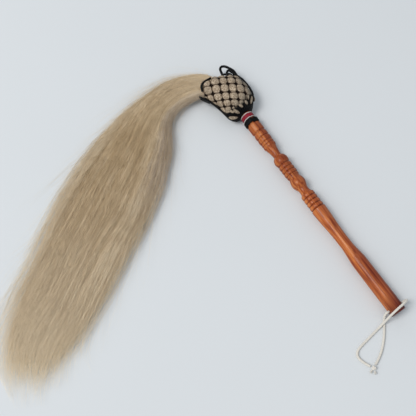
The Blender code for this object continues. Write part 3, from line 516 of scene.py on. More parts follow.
def wood_material():
    wood = settings("wood")
    material, tree, shader = new_material(
        "varnished_wood_finish", Roughness=0.42, Specular_IOR_Level=0.1, Coat_Weight=0.19, Coat_Roughness=wood.gloss,
    )
    grain = maths(tree, "MULTIPLY", noise(tree, (13.0, 330.0, 330.0), 4.0, 0.65), 0.84)
    tone = maths(tree, "ADD", grain, maths(tree, "MULTIPLY", noise(tree, (16.0, 50.0, 50.0), 2.0), 0.16))
    tint = ramp(tree, tone, (0.36, wood.dark), (0.48, wood.middle), (0.60, wood.light))
    pores = ramp(tree, noise(tree, (24.0, 430.0, 430.0)), (0.38, 1.0), (0.47, 0.0))
    tint = mixed(tree, maths(tree, "MULTIPLY", pores, 0.60), tint, wood.dark)
    # The grooves are painted darker by their depth, and the upper beads redder
    tint = mixed(tree, attribute(tree, "groove", 0.78), tint, (0.130, 0.021, 0.010))
    # Painted shade: the side of the handle away from the lamps is darkened
    tint = mixed(tree, attribute(tree, "shade", 0.88), tint, (0.58, 0.43, 0.60), "MULTIPLY")
    # The butt is painted darker on its +Y side and round its end
    tint = mixed(tree, attribute(tree, "darkened_butt", 0.88), tint, (0.090, 0.010, 0.011))
    tree.links.new(tint, shader.inputs["Base Color"])
    bump(tree, shader, tone, 0.00008, 0.6)
    return material


class WHISK_OT_handle(bpy.types.Operator):
    """Turns the varnished handle with its beads and bores the hole for the cord"""
    bl_idname = "whisk.handle"
    bl_label = "Turned handle"

    def execute(self, context):
        bm = bmesh.new()
        outline = handle_outline()
        verts = [bm.verts.new((-along, radius, 0.0)) for radius, along in outline]
        edges = [bm.edges.new(pair) for pair in zip(verts, verts[1:])]
        bmesh.ops.spin(
            bm, geom=verts + edges, cent=(0.0, 0.0, 0.0), axis=(1.0, 0.0, 0.0),
            angle=2 * math.pi, steps=72, use_merge=True,
        )
        handle = finish_mesh("turned_handle", bm, wood_material(), sharp=38)
        drill = bmesh.new()
        wide, narrow = HOLE_RADIUS + 0.0032, HOLE_RADIUS - 0.0002
        for first, second, depth, shift in (
            (HOLE_RADIUS, HOLE_RADIUS, 0.03, 0.0), (wide, narrow, 0.0035, -0.0112), (narrow, wide, 0.0035, 0.0112),
        ):
            cone = bmesh.ops.create_cone(
                drill, cap_ends=True, segments=32, radius1=first, radius2=second, depth=depth,
            )["verts"]
            bmesh.ops.translate(drill, verts=cone, vec=(0.0, 0.0, shift))
        bmesh.ops.rotate(drill, verts=drill.verts, matrix=Matrix.Rotation(math.pi / 2, 3, "X"))
        bmesh.ops.translate(drill, verts=drill.verts, vec=(HOLE_X, 0.0, 0.0))
        mesh = bpy.data.meshes.new("cord_drill")
        drill.to_mesh(mesh)
        drill.free()
        cutter = linked("cord_drill", mesh)
        hole = handle.modifiers.new("hole", "BOOLEAN")
        hole.operation = "DIFFERENCE"
        hole.solver = "EXACT"
        hole.use_self = True
        hole.object = cutter
        bored = evaluated_mesh(handle)
        handle.modifiers.clear()
        handle.data = bored
        bpy.data.objects.remove(cutter)
        mark_handle(bored, outline)
        place(handle, "varnished_wood", "handle")
        return {"FINISHED"}


def mark_handle(mesh, outline):
    """Marks the grooves, painted darker, the upper beads, painted redder, the side away from the lamps, painted
    shade, and the butt, painted darker.
    """
    points = np.zeros(len(mesh.vertices) * 3)
    mesh.vertices.foreach_get("co", points)
    x, y, _ = points.reshape(-1, 3).T
    radii, places = np.array(outline[1:]).T
    fine = np.linspace(0.0, COLLAR_FROM, 1400)
    profile = np.interp(fine, places, radii)
    reach = 9
    crowns = np.array([
        min(profile[max(0, i - reach):i + 1].max(), profile[i:i + reach + 1].max()) for i in range(len(fine))
    ])
    # Each groove's depth below the crowns on both its sides; by it the grooves are painted darker, and from the pear
    # up the beads redder
    depth = unit((crowns - profile) / 0.0007)
    groove = np.maximum(np.interp(-x, fine, depth), np.interp(-x, (0.20, 0.25), (0.0, 0.30)))
    side = y / np.interp(-x, fine, profile)
    # Painted shade: the wood darkens on its +Y side, which faces away from the lamps, less so above the waist
    shade = unit((side + 0.27) / 0.20) * np.interp(-x, (0.10, 0.14), (1.0, 0.72))
    # Near the butt the wood is painted darker on its +Y side and all round its last few millimetres
    near_butt = unit(1.7 + x / 0.014) ** 0.6
    darkened_butt = np.maximum(near_butt * unit((y + 0.004) / 0.004), unit((x + 0.0095) / 0.003))
    for name, values in (("groove", groove), ("darkened_butt", darkened_butt), ("shade", shade)):
        mark(mesh, name, values)


# Windings

def helix(start, radius, diameter, width, loops, steps=48):
    """Points of a winding about the handle from start, the same way as the part's."""
    points = []
    for i in range(loops * steps + 1):
        turn = 2 * math.pi * i / steps
        along = start + diameter / 2 + (width - diameter) * i / (loops * steps)
        points.append((-along, radius * math.sin(turn), radius * math.cos(turn)))
    return points


class WHISK_OT_windings(bpy.types.Operator):
    """Winds the black collar and the red and white thread bands"""
    bl_idname = "whisk.windings"
    bl_label = "Collar and thread bands"

    def execute(self, context):
        head = settings("head")
        red = yarn_material("red_thread_finish", head.red, 0.5, 1500.0, 0.25, 0.00006, specular=0.4), "red_thread"
        white = yarn_material("white_thread_finish", head.white, 0.6, 1500.0, 0.2, 0.00006), "white_thread"
        black = black_material(), "black_cord"
        for name, node, (material, slot), start, width, diameter, outer, loops, steps, lay in (
            ("collar", "collar_cord", black, 0.3536, 0.0108, 0.0038, 0.0122, 3, 48, 0.0086),
            ("lower_white", "lower_white_thread", white, 0.3642, 0.0018, 0.0008, 0.0104, 2, 40, 0.002),
            ("red_band", "red_thread_band", red, 0.3656, 0.0072, 0.0008, 0.0104, 10, 40, 0.002),
            ("upper_white", "upper_white_thread", white, 0.3724, 0.0018, 0.0008, 0.0105, 2, 40, 0.002),
        ):
            points = helix(start, outer - diameter / 2, diameter, width, loops, steps)
            place(laid_rope(name + "_winding", points, diameter, material, 2, 0.22, lay), slot, node)
        return {"FINISHED"}


# Head

def hood_point(where, angle):
    """Points on the head at sections and at turns about its length."""
    rows = through(HOOD_SECTIONS, where)
    share = unit(rows[:, 0] / HOOD_SHOULDER)
    bottom = NECK_UNDERSIDE + (SURFACE_Z - NECK_UNDERSIDE) * smooth(share)
    power = 2.0 / (2.0 + (HOOD_SQUARENESS - 2.0) * share)
    cosine, sine = np.cos(angle), np.sin(angle)
    across = np.sign(cosine) * np.abs(cosine) ** power * rows[:, 2]
    rise = np.sign(sine) * np.abs(sine) ** power * (rows[:, 4] - bottom) / 2
    return np.stack([
        -(NECK + rows[:, 0]) - across * np.sin(rows[:, 3]),
        rows[:, 1] + across * np.cos(rows[:, 3]),
        (rows[:, 4] + bottom) / 2 + rise,
    ], axis=1)


def off_hood(where, angle, distance):
    """Points at a distance off the head's surface; where and angle are arrays or numbers."""
    where, angle, distance = np.broadcast_arrays(*(np.atleast_1d(v).astype(float) for v in (where, angle, distance)))
    along = hood_point(np.minimum(where + 0.12, HOOD_LAST), angle) - hood_point(np.maximum(where - 0.12, 0), angle)
    around = hood_point(where, angle + 0.12) - hood_point(where, angle - 0.12)
    normal = np.cross(along, around)
    normal /= np.linalg.norm(normal, axis=1)[:, None]
    points = hood_point(where, angle) + normal * distance[:, None]
    # The mouth's right side lies slack
    degrees = np.degrees(np.angle(np.exp(1j * angle)))
    slack = unit((where - 7.4) / 2.2) * unit((84 - degrees) / 34) * unit((degrees + 30) / 40)
    points[:, 2] -= 0.0045 * smooth(slack)
    return points


class FlatHood:
    """Flattened half of the head: straight lines on it stay straight on the flat cloth."""

    def __init__(self, below):
        self.where = np.linspace(0.0, HOOD_LAST, 331)
        self.side = -1.0 if below else 1.0
        rows = through(HOOD_SECTIONS, self.where)
        self.x, self.y = -(NECK + rows[:, 0]), rows[:, 1]
        self.cosine, self.sine = np.cos(rows[:, 3]), np.sin(rows[:, 3])
        quarter = np.linspace(0.0, math.pi / 2, 41)
        self.turns = np.concatenate((math.pi / 2 + quarter[::-1], (math.pi / 2 - quarter)[1:]))
        lines = [hood_point(self.where, np.full(len(self.where), self.side * turn)) for turn in self.turns]
        steps = [np.linalg.norm(line - before, axis=1) for before, line in zip(lines, lines[1:])]
        lengths = np.cumsum([np.zeros(len(self.where)), *steps], axis=0)
        self.lengths = (lengths - lengths[len(quarter) - 1]).T

    def locate(self, flat):
        """Place on the head of flat points, whether each lies on this half, and how far past the mouth."""
        ahead = (flat[:, 0][:, None] - self.x) * self.cosine + (flat[:, 1][:, None] - self.y) * self.sine
        rows = np.arange(len(flat))
        # A point lies ahead of the sections past it on the mouth's side
        index = np.clip((ahead < 0).sum(axis=1) - 1, 0, len(self.where) - 2)
        low, high = ahead[rows, index], ahead[rows, index + 1]
        share = unit(low / np.where(np.abs(low - high) < 1e-12, 1e-12, low - high))
        where, x, y = (v[index] + share * (v[index + 1] - v[index]) for v in (self.where, self.x, self.y))
        across = -(flat[:, 0] - x) * self.sine[index] + (flat[:, 1] - y) * self.cosine[index]
        turn = np.array([np.interp(a, self.lengths[i], self.turns) for a, i in zip(across, index)])
        inside = (across > self.lengths[index, 0]) & (across < self.lengths[index, -1])
        return where, self.side * turn, inside & (ahead[:, 0] < 0), np.maximum(-ahead[:, -1], 0)


def band_material():
    """Braided ivory cord with painted shade in the seams round every pad, grey and dull towards the neck."""
    head = settings("head")
    material, tree, shader = new_material("ivory_weave_finish", Roughness=0.66, Specular_IOR_Level=0.25)
    darker, paler = [c * 0.74 for c in head.ivory], [min(1.0, c * 1.16) for c in head.ivory]
    ivory = ramp(tree, noise(tree, 110.0), (0.30, darker), (0.52, head.ivory), (0.74, paler))
    specks = ramp(tree, noise(tree, 600.0, 2.0, 0.7), (0.43, 0.88), (0.57, 0.0))
    spotted = mixed(tree, specks, ivory, (0.190, 0.120, 0.070))
    braid = attribute(tree, "braid")
    plaited = mixed(tree, ramp(tree, braid, (0.0, 0.42), (0.6, 0.0)), spotted, (0.120, 0.080, 0.050))
    dull = mixed(tree, attribute(tree, "dull", 0.85), plaited, (0.190, 0.168, 0.132))
    # Painted shade in the seams between pads: brown along their sides, near black at their corners by the holes
    seam_shade = ramp(tree, attribute(tree, "edge"), (0.55, 0.0), (0.84, 0.25), (0.95, 1.0))
    seam_shade_tint = mixed(tree, attribute(tree, "corner"), (0.105, 0.068, 0.043), head.outline)
    fluff = fibres(tree, shader, mixed(tree, seam_shade, dull, seam_shade_tint), 1100.0, 0.22)
    height = maths(tree, "ADD", maths(tree, "MULTIPLY", braid, 0.7), maths(tree, "MULTIPLY", fluff, 0.3))
    bump(tree, shader, height, 0.0004, 0.8)
    return material


def gather_end(turn):
    """Section at which the gathered cords end, at turns in radians on either half."""
    return np.interp(np.abs(np.degrees(turn)), *zip(*GATHER_END))


def band_mesh():
    bm = bmesh.new()
    return bm, [bm.verts.layers.float.new(name) for name in BAND_MARKS]


def shape_band(verts, points, layers, *marks):
    """Moves vertices to points, none of them into the table, and marks each."""
    above_table(points, 0.0002)
    for vertex, point, *values in zip(verts, points, *marks):
        vertex.co = point
        for layer, value in zip(layers, values):
            vertex[layer] = value


def weave_half(below, name, material):
    """Ivory bands in plain weave over one half of the head, each crossing a plump pad."""
    head = settings("head")
    flat_hood = FlatHood(below)
    bm, layers = band_mesh()
    for family, lanes, marks in ((0, HOLE_ROWS, HOLE_COLUMNS), (1, HOLE_COLUMNS, HOLE_ROWS)):
        for lane in range(len(lanes) - 1):
            strip = bmesh.ops.create_grid(bm, x_segments=168, y_segments=10, size=0.5)["verts"]
            local = np.array([v.co[:2] for v in strip])
            across = local[:, 1] * 2
            along = marks[0] + (local[:, 0] + 0.5) * (marks[-1] - marks[0])
            cell = np.clip(np.searchsorted(marks, along, side="right") - 1, 0, len(marks) - 2)
            share = (along - marks[cell]) / (marks[cell + 1] - marks[cell]) - 0.5
            off_middle = np.abs(2 * share)
            above = (cell + lane) % 2 == family
            level = np.cos(math.pi * share) * np.where(above, 1, -1)
            fullness = (1.0 if family == 0 else 0.96) + 0.03 * np.sin(cell * 2.1 + lane * 3.7)
            body = fullness * (1 - off_middle ** PAD_ROUNDNESS) ** (1 / PAD_ROUNDNESS)
            width, middle = lanes[lane + 1] - lanes[lane], (lanes[lane] + lanes[lane + 1]) / 2
            half = width / 2 * np.where(above, np.maximum(head.waist, body), head.waist)
            side = middle + across * half
            p, q = (along, side) if family == 0 else (side, along)
            p = p + WEAVE_LEAN * (q - LEAN_ROW)
            where, turn, inside, beyond = flat_hood.locate(p[:, None] * WEAVE_P + q[:, None] * WEAVE_Q)
            # The cover runs on under the left arc, and its hem turns into the mouth
            degrees = np.degrees(turn)
            allowed = 0.0045 * np.sin(math.pi * unit((157 - degrees) / 76))
            past = np.maximum(beyond - allowed, 0)
            bend = np.minimum(past / HEM, math.pi / 2)
            out = np.minimum(beyond, allowed) + HEM * np.sin(bend)
            down = HEM * (1 - np.cos(bend)) + np.maximum(past - HEM * math.pi / 2, 0)
            crown = head.relief * (0.3 + 0.7 * unit(level) ** 0.7) * (1 - np.abs(across) ** PAD_ROUNDNESS)
            # At the neck the pads sink beneath the gathered cords
            sink = 0.0030 * unit((gather_end(turn) + 0.35 - where) / 0.6) ** 1.5
            rise = -0.0009 + BAND_WAVE * level + crown - down - sink
            points = off_hood(where, turn, rise) + out[:, None] * np.array(SWING_OUT)
            # edge and corner say where the seams' painted shade goes: round each pad and at its corners by the holes
            edge = np.where(above, np.maximum(np.abs(across), off_middle ** 1.2), 1.0)
            braid = 0.5 + 0.5 * np.sin(2 * math.pi * (along / 0.0023 + np.abs(across) * 1.2))
            dull = unit((5.2 - where) / 2.4) * (0.35 + 0.65 * unit((130 - np.abs(degrees)) / 60))
            dull = np.maximum(dull, 0.85 * unit((75 - degrees) / 35) * unit((8.5 - where) / 2))
            dull += 0.16 * (0.5 + 0.5 * np.sin(cell * 4.3 + lane * 2.9 + family))
            corner = unit((np.minimum(np.abs(side - middle) * 2 / width, off_middle) - 0.35) / 0.3)
            shape_band(strip, points, layers, edge, braid, dull, corner)
            kept = inside & (where > gather_end(turn) - 0.4) & (past < 0.0034)
            bmesh.ops.delete(bm, geom=[v for v, keep in zip(strip, kept) if not keep], context="VERTS")
    return cloth_mesh(name, bm, material, thickness=0.0009)


def cloth_mesh(name, bm, material, thickness):
    bmesh.ops.recalc_face_normals(bm, faces=bm.faces)
    bmesh.ops.solidify(bm, geom=bm.faces, thickness=thickness)
    return finish_mesh(name, bm, material)


def wrap(name, last, distance, material):
    """Cloth round the head at a distance off it, from the neck as far as last says at each turn."""
    bm = bmesh.new()
    sides, rows = 72, 26
    turns = np.arange(sides) * 2 * math.pi / sides
    reach = np.broadcast_to(last(np.angle(np.exp(1j * turns))), turns.shape)
    before = None
    for share in np.linspace(0.0, 1.0, rows):
        ring = [bm.verts.new(point) for point in off_hood(0.3 + (reach - 0.3) * share, turns, distance)]
        edges = [bm.edges.new((ring[i], ring[(i + 1) % sides])) for i in range(sides)]
        if before:
            bmesh.ops.bridge_loops(bm, edges=before + edges)
        before = edges
    return cloth_mesh(name, bm, material, thickness=0.0006)


def neck_bands(material):
    """Ivory loops caught between the cords of the neck."""
    bm, layers = band_mesh()
    for where, degrees, lean, length, width in NECK_LOOPS:
        turn, lean = math.radians(degrees), math.radians(lean)
        centre, ahead, beside = off_hood([where, where + 0.05, where], [turn, turn, turn + 0.03], 0.0)
        per_section, per_turn = np.linalg.norm(ahead - centre) / 0.05, np.linalg.norm(beside - centre) / 0.03
        dome = bmesh.ops.create_uvsphere(bm, u_segments=28, v_segments=14, radius=1.0)["verts"]
        x, y, z = np.array([v.co[:] for v in dome]).T
        first, second = x * length * 0.0005, y * width * 0.0005
        toward = (first * math.cos(lean) - second * math.sin(lean)) / per_section
        around = (first * math.sin(lean) + second * math.cos(lean)) / per_turn
        points = off_hood(where + toward, turn + around, 0.0030 + 0.0019 * z)
        braid = 0.5 + 0.5 * np.sin(2 * math.pi * (x * length / 4.6 + np.abs(y)))
        dull = np.full(len(dome), 0.60 if abs(degrees) < 80 else 0.35)
        # Painted seam shade rings each loop
        shape_band(dome, points, layers, 0.96 * np.hypot(x, y), braid, dull, np.ones(len(dome)))
    return finish_mesh("neck_bands", bm, material)


class WHISK_OT_weave(bpy.types.Operator):
    """Weaves the ivory bands over the head and lines them with dark cloth"""
    bl_idname = "whisk.weave"
    bl_label = "Woven cover"

    def execute(self, context):
        ivory = band_material()
        for below, name in ((False, "woven_bands_top"), (True, "woven_bands_under")):
            place(weave_half(below, name, ivory), "ivory_weave", "woven_cover")
        place(neck_bands(ivory), "ivory_weave", "woven_cover")
        cloth = yarn_material("lining_finish", (0.016, 0.009, 0.006), 0.85, 1400.0, 0.4, 0.0001, specular=0.10)
        lining = wrap("head_lining", lambda turn: HOOD_LAST - 0.1, -0.0023, cloth)
        place(lining, "black_cord", "head_padding")
        return {"FINISHED"}


class WHISK_OT_black_cords(bpy.types.Operator):
    """Lays the black cords: gathered at the neck, along the edges, round the mouth, loop and tab"""
    bl_idname = "whisk.black_cords"
    bl_label = "Black cords"

    def execute(self, context):
        black = black_material()
        self.edges(black)
        self.gather(black)
        place(self.leaf(black), "black_cord", "corner_tab")
        return {"FINISHED"}

    def edges(self, black):
        lift = EDGE_CORD / 2 + 0.0006

        def cord(name, node, points, size=1.0):
            rope = laid_rope(name, spaced(points, 0.0008), EDGE_CORD * size, black, 3, 0.2, 0.008)
            place(rope, "black_cord", node)

        def at(where, degrees, distance):
            return off_hood(where, math.radians(degrees), distance)[0]

        side = (2.6, 3.3, 4, 5, 6, 7)
        for name, node, turn, sections, end in (
            ("right_edge_piping", "right_edge_cord", (21, 19, 16, 13, 12, 12, 10, 8), (*side, 7.9, 8.6), lift),
            ("left_edge_piping", "left_edge_cord", (180,) * 8, (*side, 7.7, 8.2), lift),
            ("right_rim_arc", "right_rim_cord", (38, 36, 34, 34, 36), (7.9, 8.5, 9.1, 9.6, 10.0), -0.0014),
        ):
            distance = np.full(len(sections), lift)
            distance[[0, -1]] = end
            cord(name, node, off_hood(sections, np.radians(turn), distance))
        arch = []
        for angle in (158, 146, 132, 118, 104, 92, 81):
            bulge = 0.0055 * math.sin(math.pi * (158 - angle) / 77)
            arch.append(at(HOOD_LAST, angle, 0.0008) + np.array(SWING_OUT) * (0.0008 + bulge))
        cord("left_rim_arc", "left_rim_cord", arch, 1.15)
        cord("standing_loop", "rim_loop", [
            at(7.55, 12, lift), (-0.4412, 0.0265, 0.0075), (-0.4502, 0.0259, 0.0098), (-0.4582, 0.0230, 0.0100),
            (-0.4660, 0.0198, 0.0082), (-0.4704, 0.0160, 0.0055), (-0.4690, 0.0124, 0.0038),
            (-0.4630, 0.0102, 0.0044), (-0.4575, 0.0086, 0.0060), at(9.9, 14, lift - 0.0006),
        ], 1.2)
        low = at(8.75, 46, lift)
        cord("inner_loop", "rim_loop", [
            at(8.3, 52, -0.0014), low, low + (-0.0045, 0.0035, -0.0002), (-0.4530, 0.0190, 0.0130),
            (-0.4455, 0.0222, 0.0118), (-0.4398, 0.0243, 0.0090),
        ], 1.05)

    def gather(self, black):
        cloth = wrap("neck_cloth", lambda turn: gather_end(turn) - 0.05, -0.0004, black)
        place(cloth, "black_cord", "neck_gather")
        rng = np.random.default_rng(5)
        for i in range(GATHERED_CORDS):
            angle = 2 * math.pi * (i + 0.5) / GATHERED_CORDS
            angle = angle - 2 * math.pi if angle > math.pi else angle
            reach = float(gather_end(angle)) - 0.2 + 0.9 * rng.random()
            sway = 0.12 * (rng.random() - 0.5)
            places = np.linspace(0.05, reach, 10)
            share = places / reach
            points = off_hood(places, angle + sway * share ** 2, 0.0014 - 0.0016 * share ** 4)
            above_table(points, 0.0014)
            name = f"gathered_cord_{i + 1:02d}"
            rope = laid_rope(name, spaced(points, 0.0010), 0.0029, black, 2, 0.2, 0.006, taper=0.45)
            place(rope, "black_cord", "neck_gather")
        ring = helix(NECK - 0.0002, 0.0104, 0.0022, 0.0046, 2)
        place(laid_rope("neck_tie", ring, 0.0022, black, 2, 0.2, 0.006), "black_cord", "neck_gather")

    def leaf(self, black):
        """Flattened end of the cords, curling out at the corner of the mouth."""
        start = off_hood(6.9, math.pi, 0.0016)[0]
        finish = off_hood(7.7, math.pi, 0.0016)[0] + np.array((-0.0136, -0.0060, -0.0018))
        bm = bmesh.new()
        bmesh.ops.create_grid(bm, x_segments=30, y_segments=10, size=0.5)
        along = Vector(finish - start)
        rise = Vector((0.84, -0.54, 0.25))
        rise = (rise - rise.project(along)).normalized()
        side = along.cross(rise).normalized()
        for vertex in bm.verts:
            share = vertex.co.x + 0.5
            width = 0.0036 * math.sin(math.pi * min(1.0, 0.14 + 0.83 * share) ** 0.9) ** 0.6
            curl = 0.0018 * math.cos(math.pi * vertex.co.y) + 0.0006 * math.sin(2 * math.pi * share)
            vertex.co = Vector(start) + along * share + rise * ((vertex.co.y * 2 + 0.7) * width) + side * curl
        bmesh.ops.solidify(bm, geom=bm.faces, thickness=0.0010)
        return finish_mesh("corner_leaf", bm, black)


# Hair

class HairFlow:
    """Centre line, side direction and half sizes of the hair at any distance from the mouth."""

    def __init__(self):
        rows = through(HAIR_SECTIONS, np.linspace(0, len(HAIR_SECTIONS) - 1, 400))
        self.lengths = walked_along(rows[:, :2])
        self.total = self.lengths[-1]
        heading = np.gradient(rows[:, :2], axis=0)
        heading /= np.linalg.norm(heading, axis=1)[:, None]
        self.columns = (*rows.T, heading[:, 1], -heading[:, 0])

    def at(self, walked):
        """Centre x and y, half width, half height and the side's x and y."""
        return [np.interp(walked, self.lengths, column) for column in self.columns]


def streaks(along, aside, length, width, rng):
    """Smooth random values, in cells of length by width that run with the hair."""
    cells = rng.normal(0, 1, (64, 512))
    rows, columns = along / length, aside / width + 256
    row, column = np.floor(rows).astype(int), np.floor(columns).astype(int)
    u, v = smooth(rows - row), smooth(columns - column)

    def between(row):
        return cells[row % 64, column % 512] * (1 - v) + cells[row % 64, (column + 1) % 512] * v

    return between(row) * (1 - u) + between(row + 1) * u


def strand_paths(flow, walked, start, end, level, lock, loose, leaving, rng):
    """Points of every strand at its distances walked, and the tone of the streaks there.

    start and end place it across the hair at the mouth and at its tip, level in its depth,
    loose tells how far it strays from its lock, and leaving holds where and how steeply it
    leaves the others. All but walked are columns, one row for each strand.
    """
    count = len(start)
    x, y, half_width, half_height, side_x, side_y = flow.at(walked)
    share = unit(walked / flow.total)
    lock_across, lock_phase, lock_size = lock
    opened = smooth(unit(walked / 0.17))
    across = start * (1 - opened) + end * opened
    across += (lock_across - end) * 0.25 * share ** 1.5 * (1 - loose)
    wave = lock_size * np.sin(2 * math.pi * walked / 0.21 + lock_phase)
    free = np.sqrt(share) * (0.35 + loose)
    frizz = np.zeros_like(walked)
    for length, size in ((0.17, 0.0024), (0.10, 0.0015), (0.066, 0.0008)):
        phase = rng.uniform(0, 2 * math.pi, (count, 1))
        frizz += size * rng.normal(0, 1, (count, 1)) * np.sin(2 * math.pi * walked / length + phase)
    stray = 0.0045 * rng.normal(0, 1, (count, 1)) * share ** 2.2 * (0.6 + loose)
    sideways = across * half_width + 0.0022 * wave * np.sqrt(share) + frizz * free + stray
    sideways += leaving[1] * np.maximum(walked - leaving[0], 0)
    # Held round in the mouth, the hair settles on the table with thin edges
    settled = smooth(unit((walked - 0.01) / 0.11))
    held = half_height * (1 + level * np.sqrt(np.clip(1 - 0.9 * across ** 2, 0.04, 1)))
    laid = half_height * (1 + level) * np.clip(0.95 - 0.66 * np.abs(across + 0.16) ** 2.2, 0.08, 1)
    aside = sideways / half_width * 0.07
    broad = streaks(walked, aside, 0.12, 0.009, rng)
    middle = streaks(walked + 0.3 * aside, aside, 0.055, 0.0036, rng)
    narrow = streaks(walked, aside, 0.024, 0.0015, rng)
    height = held + (laid - held) * settled + 0.4 * frizz[:, ::-1] * free
    height += (0.0004 * broad + 0.0002 * middle) * settled * unit(half_height / 0.008)
    base = SURFACE_Z + unit(1 - walked / 0.035) ** 1.5 * 0.0024
    z = np.maximum(base + height, SURFACE_Z + 0.0003)
    paths = np.stack([x + side_x * sideways, y + side_y * sideways, z], axis=2)
    # The longest strays turn back along the edge of the whisk's box
    for axis, limit in enumerate(STRAY_LIMIT):
        past = np.maximum(limit - paths[..., axis], 0)
        paths[..., axis] = np.maximum(paths[..., axis], limit) - 0.006 * np.tanh(past / 0.006)
    return paths, 0.055 * broad + 0.055 * middle + 0.07 * narrow


def strand_mesh(name, material, paths, radii, *marks):
    """Three-sided strands; each vertex carries its tone, its place along and its greyness."""
    corners = [(math.cos(a), math.sin(a)) for a in (0.0, 2.0944, 4.1888)]
    straight = np.zeros(paths.shape[1])
    mesh = tubes(name, corners, ((path, straight, radius) for path, radius in zip(paths, radii)))
    mesh.name = name
    for layer, values in zip(("tone", "share", "cool"), marks):
        mark(mesh, layer, np.repeat(values.ravel(), len(mesh.vertices) // values.size))
    mesh.shade_smooth()
    mesh.materials.append(material)
    return linked(name, mesh)


def hair_material():
    hair = settings("hair")
    material, tree, shader = new_material(
        "flaxen_hair_finish", Roughness=0.50, Specular_IOR_Level=0.28, Sheen_Weight=0.1,
    )
    varied = maths(tree, "MULTIPLY_ADD", noise(tree, (60.0, 60.0, 60.0)), 0.35, attribute(tree, "tone"))
    varied = maths(tree, "SUBTRACT", varied, 0.175)
    tint = ramp(tree, varied, (0.0, hair.dark), (0.5, hair.middle), (1.0, hair.pale))
    # Paler near the mouth and towards the tips; at the tips partly the hair's own tone and partly painted light for
    # the light through the thin ends
    paler = ramp(
        tree, attribute(tree, "share"),
        (0.0, 0.38), (0.12, 0.18), (0.30, 0.0), (0.55, 0.14), (0.78, 0.55), (0.92, 1.0),
    )
    tint = mixed(tree, attribute(tree, "cool"), mixed(tree, paler, tint, hair.pale), hair.cool)
    tree.links.new(tint, shader.inputs["Base Color"])
    return material


